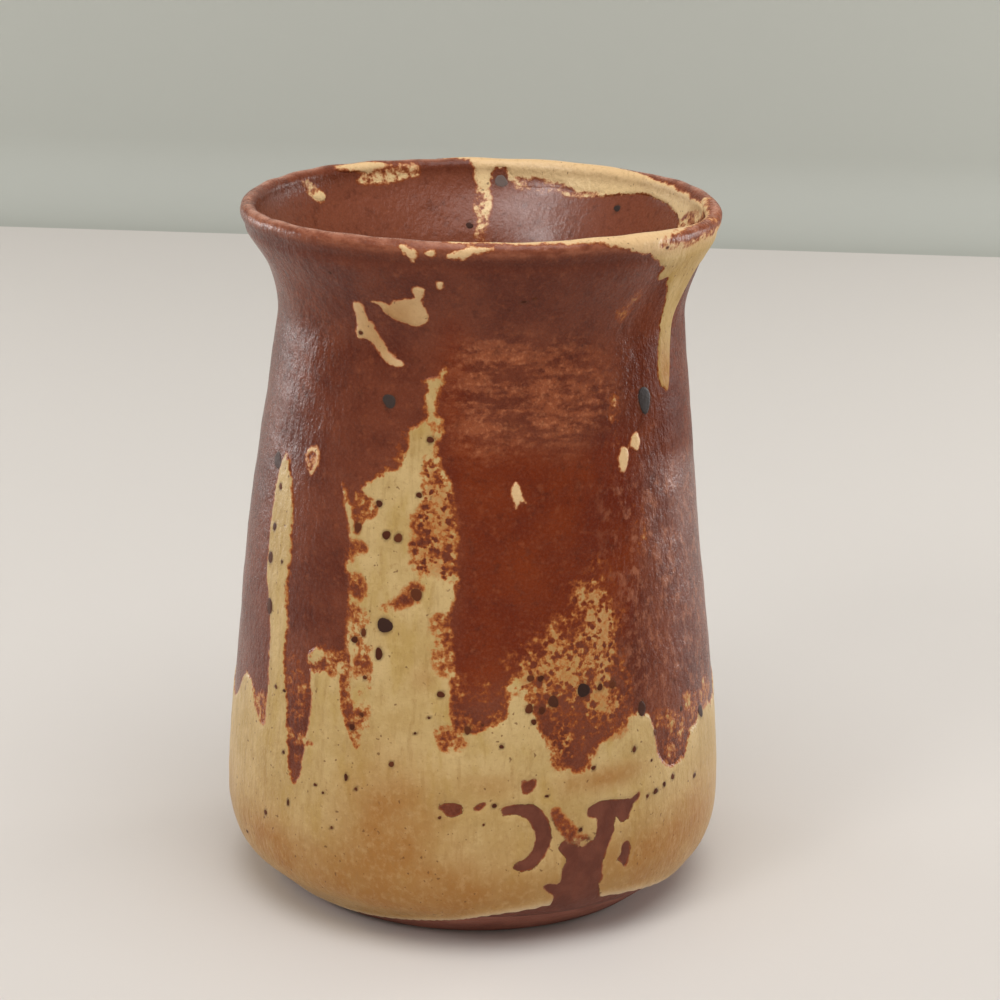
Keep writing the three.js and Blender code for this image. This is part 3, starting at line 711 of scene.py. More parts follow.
def depth_inside(outline, angle, reach, wraps=True):
    """How far places lie inside an outline on the wall, in millimetres, and below zero outside it.
    The angles of an outline that is wider than a turn aren't wrapped."""
    corners = rounded(outline)
    (left, low), (right, high) = corners.min(axis=0), corners.max(axis=0)
    if wraps:
        middle = 0.5 * (left + right)
        angle = turned_from(angle, middle) + middle
    margin = np.degrees(FAR / (NECK_RADIUS - WALL))
    near = (angle > left - margin) & (angle < right + margin) & (reach > low - FAR) & (reach < high + FAR)
    x, y = angle[near], reach[near]
    per_degree = np.radians(section_at(y)[0])
    least = np.full(x.shape, FAR ** 2)
    within = np.zeros(x.shape, bool)
    for (ax, ay), (bx, by) in zip(corners, np.roll(corners, -1, axis=0)):
        if ay != by:
            crosses = (ay > y) != (by > y)
            within ^= crosses & (x < (bx - ax) * (y - ay) / (by - ay) + ax)
        close = (x > min(ax, bx) - margin) & (x < max(ax, bx) + margin)
        px, py = (x[close] - ax) * per_degree[close], y[close] - ay
        ex, ey = (bx - ax) * per_degree[close], by - ay
        share = np.clip((px * ex + py * ey) / (ex * ex + ey * ey + NO_LENGTH), 0.0, 1.0)
        least[close] = np.minimum(least[close], (px - share * ex) ** 2 + (py - share * ey) ** 2)
    depth = np.full(angle.shape, -FAR)
    depth[near] = np.where(within, 1.0, -1.0) * np.sqrt(least)
    return depth


def skirt_foot(angle, reach):
    """Height above the bead at the glaze's lower edge."""
    height = np.interp(turned_from(angle, 0.0), *np.array(LOWER_EDGE).T)
    return reach_of(height) - reach


def skirt_depth(angle, reach):
    """How far places lie below the skirt's upper edge and above its bead."""
    start = SKIRT_EDGE[0][0]
    turned = (angle - start) % 360.0 + start
    edge = on_wall(SKIRT_EDGE)
    lead_in = [(a - 360.0, r) for a, r in edge[-EDGE_LEAD:]]
    lead_out = [(a + 360.0, r) for a, r in edge[:EDGE_LEAD]]
    low = LOWEST_REACH + 2.0 * FAR
    whole = [(lead_in[0][0], low)] + lead_in + edge + lead_out + [(lead_out[-1][0], low)]
    return np.minimum(depth_inside(whole, turned, reach, wraps=False), skirt_foot(angle, reach))


def bare_depth(angle, reach, names):
    """How far places lie inside one of some bare places of the skirt, or below its bead."""
    depth = -skirt_foot(angle, reach)
    for name in names:
        depth = np.maximum(depth, depth_inside(on_wall(BARE_PLACES[name]), angle, reach))
    return depth


SKIRT = "lower_glaze_skirt"
RUN = "rim_glaze_run"

# The other pours: how crisp the edge is, where 0 is wholly ragged, and outlines as angle and reach
SPLASHES = {
    RUN: (0.6, [LIP_LINE, on_wall(RIM_RUN)]),
    "front_lip_glaze": (0.4, [on_wall(outline) for outline in FRONT_LIP_PATCHES]),
    "shoulder_splash": (0.8, [on_wall(SHOULDER_SPLASH), on_wall(SHOULDER_DROP)]),
    "slanting_splash": (0.7, [on_wall(SLANTING_SPLASH)]),
    "left_drop": (0.35, [on_wall(LEFT_DROP)]),
    "centre_drop": (0.8, [on_wall(CENTRE_DROP)]),
    "right_drop_upper": (0.8, [on_wall(RIGHT_DROP_UPPER)]),
    "right_drop_lower": (0.8, [on_wall(RIGHT_DROP_LOWER)]),
    "inner_rim_glaze": (0.4, [INNER_BAND]),
    "inner_left_glaze": (0.3, [INNER_LEFT_PATCH]),
    "inner_left_spot": (0.4, [INNER_LEFT_SPOT]),
}
POURS = [SKIRT, *SPLASHES]
ALL_MOTTLES = [(on_wall(outline), share, soft) for outline, share, soft in MOTTLES] + LIP_MOTTLES


def pour_depth(node, angle, reach):
    """How far places lie inside a pour of cream glaze."""
    if node == SKIRT:
        return np.minimum(skirt_depth(angle, reach), -bare_depth(angle, reach, BARE_PLACES))
    return np.max([depth_inside(outline, angle, reach) for outline in SPLASHES[node][1]], axis=0)


def mottling(angle, reach):
    """Where the glazes mingle, and the share of cream there."""
    mingled = np.zeros(angle.shape)
    cover = np.zeros(angle.shape)
    total = np.zeros(angle.shape)
    for outline, share, soft in ALL_MOTTLES:
        weight = smoothstep(-soft, soft, depth_inside(outline, angle, reach))
        cover = cover * (1.0 - weight) + share * weight
        total = total * (1.0 - weight) + weight
        mingled = np.maximum(mingled, weight)
    return mingled, cover / np.maximum(total, LEAST_TOTAL)


def soft_patches(patches, angle, reach):
    """1 inside any of some patches of the wall, with a soft edge."""
    depths = [(depth_inside(on_wall(outline), angle, reach), soft) for outline, soft in patches]
    return np.max([smoothstep(-soft, soft, depth) for depth, soft in depths], axis=0)


def tan_clouds(angle, reach):
    """How tan the cream is on the outside."""
    height = section_at(reach)[1]
    total = np.sum([bulge(cloud, angle, height) for cloud in TAN_CLOUDS], axis=0)
    return np.where(reach > 0.0, np.clip(total, 0.0, 1.0), 0.0)


def all_spots():
    """Every iron spot as angle, reach, radius, how tall it is for its width, and how blue."""
    spots = []
    for angle, height, radius, *form in SPOTS:
        form += ROUND_BROWN[len(form):]
        spots.append((angle, float(reach_of(height)), SPOT_SIZE * radius, *form))
    return spots + INNER_SPOTS


def spot_halo(angle, reach):
    """Brown stain round the iron spots."""
    radius_here = section_at(reach)[0]
    stain = np.zeros(angle.shape)
    for spot_angle, spot_reach, radius, tall, _ in all_spots():
        turned = turned_from(angle, spot_angle)
        near = (np.abs(turned) < HALO_NEAR) & (np.abs(reach - spot_reach) < HALO_NEAR)
        apart = np.hypot(np.radians(turned[near]) * radius_here[near], (reach[near] - spot_reach) / tall)
        width = HALO_SCALE * radius + HALO_WIDTH
        stain[near] = np.maximum(stain[near], np.exp(-(apart / width) ** HALO_EDGE))
    return stain


def glaze_fields(angle, reach):
    """What the colours of the glazes need at each place on the wall."""
    pours = {node: pour_depth(node, angle, reach) for node in POURS}
    cream = np.max(list(pours.values()), axis=0)
    mingled, cover = mottling(angle, reach)
    splashed = np.where(pours[SKIRT] >= cream, 0.0, 1.0)
    firm = np.max([np.where(pours[node] >= cream, SPLASHES[node][0], 0.0) for node in SPLASHES], axis=0)
    crisp_places = [name for name in BARE_PLACES if name not in RAGGED_PLACES]
    near_bare = 1.0 - smoothstep(*CRISP_BAND, np.abs(bare_depth(angle, reach, crisp_places)))
    run = np.where(pours[RUN] >= cream, 1.0, 0.0)
    fields = {
        "cream": cream,
        "crisp": np.maximum(firm * splashed, near_bare),
        "pale": splashed * (1.0 - run * smoothstep(*PALE_RUN, reach)),
        "mingled": mingled,
        "cover": cover,
        "bare": bare_depth(angle, reach, CLAY_PLACES),
        # The bead's mask also places its painted highlight
        "bead": ridge(skirt_foot(angle, reach), 0.0, BEAD_GLOW),
        "tan": tan_clouds(angle, reach),
        "halo": spot_halo(angle, reach),
        # The mouth's mask also places the partly painted light of its cream
        "mouth": smoothstep(0.0, MOUTH_REACH, -reach),
        # The lip's and crest's masks place their painted highlight
        "lip": (1.0 - smoothstep(*LIP_FACE, reach)) * smoothstep(-LIP_BACK, 0.0, reach),
        "crest": ridge(reach, *LIP_CREST),
        # The groove's mask places the painted shade under the lip
        "groove": ridge(reach, *GROOVE_SHADE),
        "sheen": bulge(SHEEN, angle, reach),
    }
    fields.update({name: soft_patches(patches, angle, reach) for name, patches in PATCHES.items()})
    return fields


def cream_height(node, angle, reach):
    """Height of a pour over the iron glaze, with rolled edges and sunk outside them, and depth inside it."""
    depth = pour_depth(node, angle, reach)
    share = np.clip(depth / EDGE_ROLL, 0.0, 1.0)
    thinned = 1.0 - THIN_FILM * mottling(angle, reach)[0]
    top = CREAM_GLAZE * thinned * np.sqrt(1.0 - (1.0 - share) ** 2)
    if node == SKIRT:
        foot = np.clip(skirt_foot(angle, reach) / BEAD_WIDTH, 0.0, 1.0)
        top = top + BEAD * np.clip(share * BEAD_RISE, 0.0, 1.0) * (1.0 - smoothstep(0.0, 1.0, foot))
    sunk = CREAM_SINK * np.clip(-depth / SINK_WIDTH, 0.0, 1.0)
    return np.where(depth > 0.0, top, -sunk), depth


def columns_round(fine, coarse):
    """Angles all the way round, closer together on the side that faces the viewer."""
    front = np.arange(-FRONT_HALF, FRONT_HALF, fine)
    count = int((360.0 - 2.0 * FRONT_HALF) / coarse) + 1
    back = np.linspace(FRONT_HALF, 360.0 - FRONT_HALF, count)[:-1]
    return np.concatenate([front, back])


def new_object(name, vertices, faces, material):
    """A smooth mesh in the scene, with one material."""
    mesh = bpy.data.meshes.new(name)
    mesh.from_pydata(vertices, [], faces)
    mesh.polygons.foreach_set("use_smooth", [True] * len(mesh.polygons))
    mesh.update()
    mesh.materials.append(material)
    made = bpy.data.objects.new(name, mesh)
    bpy.context.scene.collection.objects.link(made)
    return made


def new_piece(name, vertices, faces, node, material):
    """A mesh piece that rides on the pot and stands for a node, where one is given."""
    piece = new_object(name, vertices.tolist(), faces, material)
    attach(piece, "root")
    if node:
        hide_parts(node)
    return piece


def give_fields(piece, fields):
    for name, values in fields.items():
        attribute = piece.data.attributes.new(name, "FLOAT", "POINT")
        attribute.data.foreach_set("value", np.asarray(values, np.float32))


def ring_at(angles, reach):
    """The angles of a ring of the wall, which is a single point in the middle of the floor."""
    return angles if reach > FLOOR_REACH else angles[:1]


def turned_faces(sizes, closed):
    """Faces between rings of given sizes, where a ring may be a single point on the axis."""
    columns = max(sizes)
    starts = np.concatenate([[0], np.cumsum(sizes)]).tolist()
    pairs = list(zip(range(len(sizes) - 1), range(1, len(sizes))))
    if closed:
        pairs.append((len(sizes) - 1, 0))
    faces = []
    for low, high in pairs:
        if sizes[low] == sizes[high] == 1:
            continue
        a, b = starts[low], starts[high]
        for column in range(columns):
            following = (column + 1) % columns
            if sizes[high] == 1:
                faces.append((a + column, a + following, b))
            elif sizes[low] == 1:
                faces.append((a, b + following, b + column))
            else:
                faces.append((a + column, a + following, b + following, b + column))
    return faces


def coat_reaches():
    """Rings of the glaze coat: close together on the lip, further apart deep inside."""
    rings = []
    start = COAT_REACH
    for end, step in COAT_BANDS:
        rings.append(np.arange(start, end, -step))
        start = end
    return np.concatenate([*rings, np.arange(start, FLOOR_REACH, -DEEP_STEP)[:-1], [FLOOR_REACH]])


def iron_coat(material):
    """The iron glaze: a thin coat over the whole wall, with its underside."""
    angles = columns_round(*COAT_TURN)
    face = coat_reaches()
    underside = np.concatenate([face[:-1:UNDERSIDE_EVERY], face[-1:]])[::-1]
    points, places = [], []
    for reaches, proud in ((face, 0.0), (underside, -IRON_GLAZE)):
        for reach in reaches:
            ring = ring_at(angles, reach)
            places.append(np.stack([ring, np.full(ring.shape, reach)], 1))
            points.append(place(ring, reach, proud))
    faces = turned_faces([len(ring) for ring in points], True)
    piece = new_piece(
        "fired_iron_glaze_coat", np.vstack(points), faces, "iron_glaze_coat", material,
    )
    give_fields(piece, glaze_fields(*np.vstack(places).T))
    return piece


def foot_profile(bevel_end):
    """Radius and height along the foot of the clay: the flat underside, its rounded edge and the bevel."""
    corner = np.array([FOOT_RADIUS, 0.0])
    length = np.linalg.norm(bevel_end - corner)
    along = (bevel_end - corner) / length
    flat = [(radius, 0.0) for radius in np.linspace(FLAT_START, FOOT_RADIUS - FOOT_ROUND, FLAT_RINGS)[:-1]]
    edge = bezier([corner - (FOOT_ROUND, 0.0), corner, corner + along * FOOT_ROUND], EDGE_RINGS)
    bevel = corner + np.linspace(FOOT_ROUND, length, BEVEL_RINGS)[1:-1, None] * along
    return np.vstack([flat, edge, bevel])


def foot_ring(angles, radius, height, bevel_top):
    """Points in metres round the foot, with tool marks and wear on the bevel."""
    turn = np.radians(angles)
    tall, apart = TOOL_MARKS
    wear = tall * np.cos(2.0 * math.pi * height / apart + turn)
    wear += waves(turned_points(radius, turn, height), *BEVEL_WEAR)
    wear *= smoothstep(*WEAR_START, height) * smoothstep(0.0, WEAR_END, bevel_top - height)
    return turned_points(radius + WEAR_OUT * wear, turn, height - WEAR_DOWN * wear) * MM


def clay_body(material):
    """The clay: flat foot, turned bevel with fine tool marks, and the wall under the glaze."""
    angles = columns_round(*CLAY_TURN)
    gap = IRON_GLAZE + CLAY_GAP
    wall = np.concatenate([coat_reaches()[:-1:CLAY_EVERY], [FLOOR_REACH]])
    start = place(0.0, wall[:1], -gap)[0] / MM
    bevel_end = np.array([-start[1], start[2]])
    points = [np.zeros((1, 3))]
    for radius, height in foot_profile(bevel_end):
        points.append(foot_ring(angles, radius, height, bevel_end[1]))
    for reach in wall:
        points.append(place(ring_at(angles, reach), reach, -gap))
    faces = turned_faces([len(ring) for ring in points], False)
    return new_piece("fired_clay_body", np.vstack(points), faces, "clay_body", material)


def without_corner_contacts(keep):
    """Fills cells so that no two kept cells of a lattice touch at a corner alone."""
    keep = keep.copy()
    while True:
        a, b, c, d = keep[:-1, :-1], keep[:-1, 1:], keep[1:, :-1], keep[1:, 1:]
        one_way = a & d & ~b & ~c
        other_way = b & c & ~a & ~d
        if not (one_way.any() or other_way.any()):
            return keep
        keep[:-1, 1:] |= one_way
        keep[:-1, :-1] |= other_way


def patch_faces(keep, wrap):
    """Faces of a closed skin over the kept cells of a lattice: top, underside and walls round the edge."""
    cell_rows, cell_columns = keep.shape
    width = cell_columns if wrap else cell_columns + 1
    row, column = np.nonzero(keep)
    right = (column + 1) % width
    above, below = row * width, (row + 1) * width
    corners = [above + column, above + right, below + right, below + column]
    under = (cell_rows + 1) * width
    top = np.stack(corners, 1)
    padded = np.pad(keep, 1)
    if wrap:
        padded[1:-1, 0] = keep[:, -1]
        padded[1:-1, -1] = keep[:, 0]
    faces = [top, top[:, ::-1] + under]
    for side, (down, across) in enumerate([(0, 1), (1, 2), (2, 1), (1, 0)]):
        outer = ~padded[row + down, column + across]
        a = corners[side][outer]
        b = corners[(side + 1) % 4][outer]
        faces.append(np.stack([b, a, a + under, b + under], 1))
    return np.vstack(faces)


def cream_pour(node, angles, reaches, wrap, material):
    """A pour of cream glaze, closed, with rolled edges that dip under the face of the iron glaze."""
    angle, reach = (part.ravel() for part in np.meshgrid(angles, reaches))
    height, depth = cream_height(node, angle, reach)
    kept = (depth > -CREAM_SKIN).reshape(len(reaches), len(angles))
    if wrap:
        kept = np.hstack([kept, kept[:, :1]])
    keep = kept[:-1, :-1] | kept[1:, :-1] | kept[:-1, 1:] | kept[1:, 1:]
    faces = patch_faces(without_corner_contacts(keep), wrap)
    points = np.vstack([place(angle, reach, height), place(angle, reach, -CREAM_SEAT)])
    used, faces = np.unique(faces, return_inverse=True)
    faces = faces.reshape(-1, 4).tolist()
    piece = new_piece("fired_" + node, points[used], faces, node, material)
    spread = used % len(angle)
    give_fields(piece, glaze_fields(angle[spread], reach[spread]))
    return piece


def cream_pours(material):
    """Every pour, each on a lattice that covers it."""
    skirt_reaches = np.arange(LOWEST_REACH, float(reach_of(SKIRT_TOP)), -SKIRT_STEP)
    cream_pour(SKIRT, columns_round(*SKIRT_TURN), skirt_reaches, True, material)
    for node, (_, outlines) in SPLASHES.items():
        corners = np.vstack(outlines)
        (left, low), (right, high) = corners.min(axis=0), corners.max(axis=0)
        angles = np.arange(left - SPLASH_MARGIN, right + SPLASH_MARGIN, SPLASH_TURN)
        reaches = np.arange(high + SPLASH_MARGIN, low - SPLASH_MARGIN, -SPLASH_STEP)
        cream_pour(node, angles, reaches, False, material)


def glaze_top(angle, reach):
    """Height of whichever glaze lies uppermost."""
    pours = [cream_height(node, angle, reach)[0] for node in POURS]
    return np.maximum(0.0, np.max(pours, axis=0))


def spot_faces(base):
    """Faces of one spot: a fan at its middle, rings of quads and a fan underneath."""
    faces = []
    starts = [base + 1 + ring * SPOT_SECTORS for ring in range(len(SPOT_RINGS) + 1)]
    for sector in range(SPOT_SECTORS):
        following = (sector + 1) % SPOT_SECTORS
        faces.append((base, starts[0] + following, starts[0] + sector))
        for inner, outer in zip(starts[:-2], starts[1:-1]):
            faces.append((inner + sector, inner + following, outer + following, outer + sector))
        faces.append((starts[-2] + sector, starts[-2] + following, starts[-1]))
    return faces


def iron_spots(material):
    """The iron spots: small melted domes, each with an uneven edge and a closed underside."""
    turn = np.arange(SPOT_SECTORS) * 2.0 * math.pi / SPOT_SECTORS
    count = 2 + SPOT_SECTORS * len(SPOT_RINGS)
    around, along, proud, faces, blues, shades = [], [], [], [], [], []
    for number, (angle, reach, radius, tall, blue) in enumerate(all_spots()):
        edge = 1.0 + OVAL * np.cos(2.0 * turn + number) + THREE_SIDED * np.cos(3.0 * turn + 2.0 * number)
        per_degree = math.radians(float(section_at(np.array([reach]))[0][0]))
        across = edge * radius * np.cos(turn) / per_degree
        down = edge * radius * tall * np.sin(turn)
        around.extend([[angle], *(angle + ring * across for ring in SPOT_RINGS), [angle]])
        along.extend([[reach], *(reach + ring * down for ring in SPOT_RINGS), [reach]])
        proud.append([SPOT_DOME])
        for ring in SPOT_RINGS:
            sunk = SPOT_EDGE if ring > 1.0 else 0.0
            proud.append(np.full(SPOT_SECTORS, SPOT_DOME * (1.0 - ring ** DOME_POWER) - sunk))
        proud.append([-SPOT_SEAT])
        faces.extend(spot_faces(number * count))
        blues.extend([blue] * count)
        shades.extend([0.5 + 0.5 * math.sin(SHADE_TURN * number)] * count)
    around, along, proud = (np.concatenate(part) for part in (around, along, proud))
    points = place(around, along, glaze_top(around, along) + proud)
    piece = new_piece("iron_spots", points, faces, None, material)
    give_fields(piece, {"blue": blues, "shade": shades})
    return piece


def srgb(red, green, blue):
    """A colour given as it looks on screen, 0 to 255, for a shader."""
    parts = [part / 255.0 for part in (red, green, blue)]
    return [part / 12.92 if part <= 0.04045 else ((part + 0.055) / 1.055) ** 2.4 for part in parts] + [1.0]


# Iron-red glaze
DUSKY = srgb(116, 57, 35)
DUSKY_DARK = srgb(94, 39, 21)
DEEP_RED = srgb(120, 46, 9)
DEEP_RED_DARK = srgb(100, 31, 4)
MOUTH_RED = srgb(131, 71, 48)
BRUSHED_RED = srgb(158, 86, 52)
SANDY = srgb(190, 118, 80)
DARK_BLOT = srgb(70, 25, 12)
LIGHT_BLOT = srgb(152, 84, 52)
FLECK = srgb(176, 112, 82)
GROOVE_PAINTED_SHADE = srgb(86, 34, 16)
LIP_PAINTED_HIGHLIGHT = srgb(156, 94, 68)
CREST_PAINTED_HIGHLIGHT = srgb(190, 138, 116)
CREASE_PAINTED_SHADE = srgb(72, 36, 26)
WRINKLE_GLINT = srgb(190, 142, 120)
FINE_GRAIN = srgb(162, 96, 68)

# Cream glaze
STRAW = srgb(186, 154, 97)
PALE_STRAW = srgb(203, 173, 119)
OLIVE = srgb(182, 149, 81)
STREAK = srgb(152, 114, 60)
SPLASH_CREAM = srgb(228, 190, 142)
MOUTH_CREAM_AND_LIGHT = srgb(250, 216, 160)
TAN = srgb(166, 115, 57)
PEEL = srgb(218, 187, 134)
CREAM_GRAIN = srgb(158, 117, 66)
BEAD_CREAM_AND_HIGHLIGHT = srgb(230, 208, 172)
SPECK = srgb(104, 64, 32)

# Where the glazes meet, bare clay, iron spots and studio
RUST = srgb(136, 64, 26)
AMBER = srgb(180, 110, 53)
SPLASH_AMBER = srgb(196, 132, 86)
RIM_DARK = srgb(84, 46, 26)
RIM_LIGHT = srgb(172, 116, 78)
HALO = srgb(80, 42, 22)
PATCH_CLAY = srgb(100, 51, 36)
PATCH_CLAY_LIGHT = srgb(116, 63, 46)
FOOT_CLAY = srgb(150, 91, 73)
FOOT_CLAY_DARK = srgb(127, 71, 55)
CLAY_GRAIN = srgb(156, 106, 86)
SPOT_BROWN = srgb(72, 32, 19)
SPOT_BROWN_LIGHT = srgb(98, 50, 28)
SPOT_BLUE = srgb(38, 33, 33)
SPOT_GREY_AND_SHEEN = srgb(128, 112, 105)
SPOT_GRAIN = srgb(84, 56, 36)
FLOOR_PALE = srgb(212, 206, 200)
BACKDROP_GREY = srgb(170, 171, 163)


class Shading:
    """Short calls that add nodes to a tree and return the socket to link from."""

    def __init__(self, tree):
        self.tree = tree

    def feed(self, socket, value):
        if isinstance(value, bpy.types.NodeSocket):
            self.tree.links.new(value, socket)
        else:
            socket.default_value = value

    def new(self, kind, **inputs):
        """A node, with inputs fed by their names, where an underscore stands for a space."""
        node = self.tree.nodes.new("ShaderNode" + kind)
        for name, value in inputs.items():
            self.feed(node.inputs[name.replace("_", " ")], value)
        return node

    def field(self, name):
        node = self.new("Attribute")
        node.attribute_name = name
        return node.outputs["Fac"]

    def millimetres(self, stretch=(1.0, 1.0, 1.0)):
        """Place on the object in millimetres, squeezed along an axis to draw out what is painted there."""
        place_m = self.new("TexCoord").outputs["Object"]
        return self.maths("MULTIPLY", place_m, [part / MM for part in stretch], kind="VectorMath")

    def noise(self, place_mm, size, detail=3.0, rough=0.55, bent=0.0):
        """Noise from 0 to 1 with lumps of about a size in millimetres."""
        node = self.new(
            "TexNoise", Vector=place_mm, Scale=1.0 / size, Detail=detail, Roughness=rough, Distortion=bent,
        )
        return node.outputs["Fac"]

    def dots(self, place_mm, size):
        """Uneven dots, 1 in their middle and 0 between them, about a size in millimetres apart."""
        stray = self.new("TexNoise", Vector=place_mm, Scale=1.0 / size, Detail=3.0)
        far = (DOT_STRAY * size,) * 3
        bent = self.maths("MULTIPLY_ADD", stray.outputs["Color"], far, place_mm, kind="VectorMath")
        node = self.new("TexVoronoi", Vector=bent, Scale=1.0 / size)
        return self.minus(1.0, self.step(node.outputs["Distance"], *DOT_EDGE))

    def maths(self, operation, *values, kind="Math"):
        node = self.new(kind)
        node.operation = operation
        for socket, value in zip(node.inputs, values):
            self.feed(socket, value)
        return node.outputs[0]

    def plus(self, first, second):
        return self.maths("ADD", first, second)

    def minus(self, first, second):
        return self.maths("SUBTRACT", first, second)

    def times(self, first, second):
        return self.maths("MULTIPLY", first, second)

    def least(self, first, second):
        return self.maths("MINIMUM", first, second)

    def most(self, first, second):
        return self.maths("MAXIMUM", first, second)

    def step(self, value, low, high):
        """Rises smoothly from 0 to 1 as a value goes from low to high."""
        node = self.new("MapRange", Value=value, From_Min=low, From_Max=high)
        node.interpolation_type = "SMOOTHSTEP"
        return node.outputs["Result"]

    def between(self, value, low, high):
        """Goes in a straight line from low to high as a value goes from 0 to 1."""
        return self.new("MapRange", Value=value, To_Min=low, To_Max=high).outputs["Result"]

    def blend(self, share, first, second):
        """Goes from a first colour to a second one as a share goes from 0 to 1."""
        node = self.new("Mix")
        node.data_type = "RGBA"
        for socket, value in zip((0, 6, 7), (share, first, second)):
            self.feed(node.inputs[socket], value)
        return node.outputs[2]

    def tint(self, colour, where, share, tone):
        """Blends a share of a tone into a colour, where a value is 1."""
        return self.blend(self.times(where, share), colour, tone)


def new_material(name):
    material = bpy.data.materials.new(name)
    material.use_nodes = True
    return material, Shading(material.node_tree), material.node_tree.nodes["Principled BSDF"]


def bump(s, shader, height, distance):
    node = s.new("Bump", Distance=distance * MM, Height=height)
    s.feed(shader.inputs["Normal"], node.outputs["Normal"])


def iron_colour(s, place_mm, fine, grains):
    """Iron-red glaze: dusky brown to deep red, brushed lighter in a band, with pale flecks, a painted
    highlight on the lip and its crest, painted shade under the lip and in creases, and painted glints.
    """
    cloud = s.noise(place_mm, size=14.0, detail=4.0)
    dusky = s.blend(s.step(cloud, 0.35, 0.68), DUSKY, DUSKY_DARK)
    deep = s.blend(s.step(cloud, 0.3, 0.7), DEEP_RED, DEEP_RED_DARK)
    colour = s.blend(s.field("deep"), dusky, deep)
    colour = s.tint(colour, s.field("mouth"), 0.85, MOUTH_RED)
    bands = s.noise(s.millimetres((0.6, 0.6, 2.6)), size=6.0, detail=2.0, rough=0.5, bent=0.4)
    blotches = s.noise(s.millimetres((1.0, 1.0, 1.5)), size=2.0, detail=5.0, rough=0.72)
    drawn = s.times(s.plus(bands, blotches), 0.5)
    brushed = s.times(s.field("brushed"), s.step(drawn, 0.42, 0.58))
    colour = s.tint(colour, brushed, 0.66, BRUSHED_RED)
    colour = s.tint(colour, s.times(brushed, s.step(grains, 0.48, 0.68)), 0.6, SANDY)
    dark = s.noise(place_mm, size=2.4, detail=4.0, rough=0.6)
    colour = s.tint(colour, s.step(dark, 0.52, 0.72), 0.4, DARK_BLOT)
    light = s.noise(place_mm, size=1.9, detail=4.0, rough=0.6)
    colour = s.tint(colour, s.step(light, 0.55, 0.75), 0.35, LIGHT_BLOT)
    upright = s.noise(s.millimetres((1.0, 1.0, 0.75)), size=2.4, detail=5.0, rough=0.68)
    flecks = s.times(s.field("flecked"), s.step(upright, 0.48, 0.68))
    colour = s.tint(colour, flecks, 0.6, FLECK)
    # Painted shade in the groove under the lip
    colour = s.tint(colour, s.field("groove"), 0.5, GROOVE_PAINTED_SHADE)
    # Painted highlight on the lip's face and its crest, in patches, where light catches the rolled lip
    lip_highlight_patches = s.noise(s.millimetres((1.0, 1.0, 3.0)), size=4.0, detail=5.0, rough=0.65)
    lip_highlight_patches = s.step(lip_highlight_patches, 0.38, 0.64)
    colour = s.tint(colour, s.field("lip"), s.between(lip_highlight_patches, 0.2, 0.9), LIP_PAINTED_HIGHLIGHT)
    colour = s.tint(colour, s.field("crest"), s.between(lip_highlight_patches, 0.15, 0.85), CREST_PAINTED_HIGHLIGHT)
    # Painted shade in the creases of the wrinkled parts, and painted glints on them
    folds = s.noise(place_mm, size=4.6, detail=3.0, rough=0.6, bent=1.2)
    from_fold = s.maths("ABSOLUTE", s.minus(folds, 0.5))
    crease_shade = s.times(s.field("wrinkled"), s.minus(1.0, s.step(from_fold, 0.004, 0.03)))
    colour = s.tint(colour, crease_shade, 0.6, CREASE_PAINTED_SHADE)
    glint = s.times(s.field("wrinkled"), s.step(grains, 0.6, 0.72))
    colour = s.tint(colour, glint, 0.2, WRINKLE_GLINT)
    return s.tint(colour, s.step(fine, 0.5, 0.8), 0.25, FINE_GRAIN)


def cream_colour(s, place_mm, grains):
    """Cream glaze: pale straw to olive, tan in clouds, tiny iron specks, a pale bead at its foot and a paler
    mouth, both partly painted light.
    """
    cloud = s.noise(place_mm, size=12.0, detail=4.0)
    colour = s.blend(s.step(cloud, 0.35, 0.65), STRAW, PALE_STRAW)
    olive = s.noise(s.millimetres((1.0, 1.0, 0.35)), size=5.0, detail=4.0)
    colour = s.tint(colour, s.step(olive, 0.5, 0.7), 0.6, OLIVE)
    streaks = s.noise(s.millimetres((1.0, 1.0, 0.14)), size=1.5, detail=4.0, rough=0.6)
    colour = s.tint(colour, s.step(streaks, 0.5, 0.68), 0.3, STREAK)
    # Paler cream inside the mouth: partly its own colour, partly painted light where light falls on the band
    pale = s.blend(s.field("mouth"), SPLASH_CREAM, MOUTH_CREAM_AND_LIGHT)
    colour = s.tint(colour, s.field("pale"), 0.85, pale)
    patchy = s.between(s.noise(place_mm, size=7.0, detail=5.0), 0.4, 1.5)
    colour = s.blend(s.least(s.times(s.field("tan"), patchy), 1.0), colour, TAN)
    peel = s.noise(s.millimetres((1.0, 1.0, 0.85)), size=1.4, detail=4.0, rough=0.65)
    colour = s.tint(colour, s.step(peel, 0.45, 0.75), 0.26, PEEL)
    colour = s.tint(colour, s.step(grains, 0.52, 0.75), 0.35, CREAM_GRAIN)
    # The bead at the foot of the pour: its own paler cream, with a painted highlight along it
    colour = s.tint(colour, s.field("bead"), 0.8, BEAD_CREAM_AND_HIGHLIGHT)
    specks = s.noise(place_mm, size=1.1, detail=1.0)
    return s.tint(colour, s.step(specks, 0.7, 0.76), 0.7, SPECK)


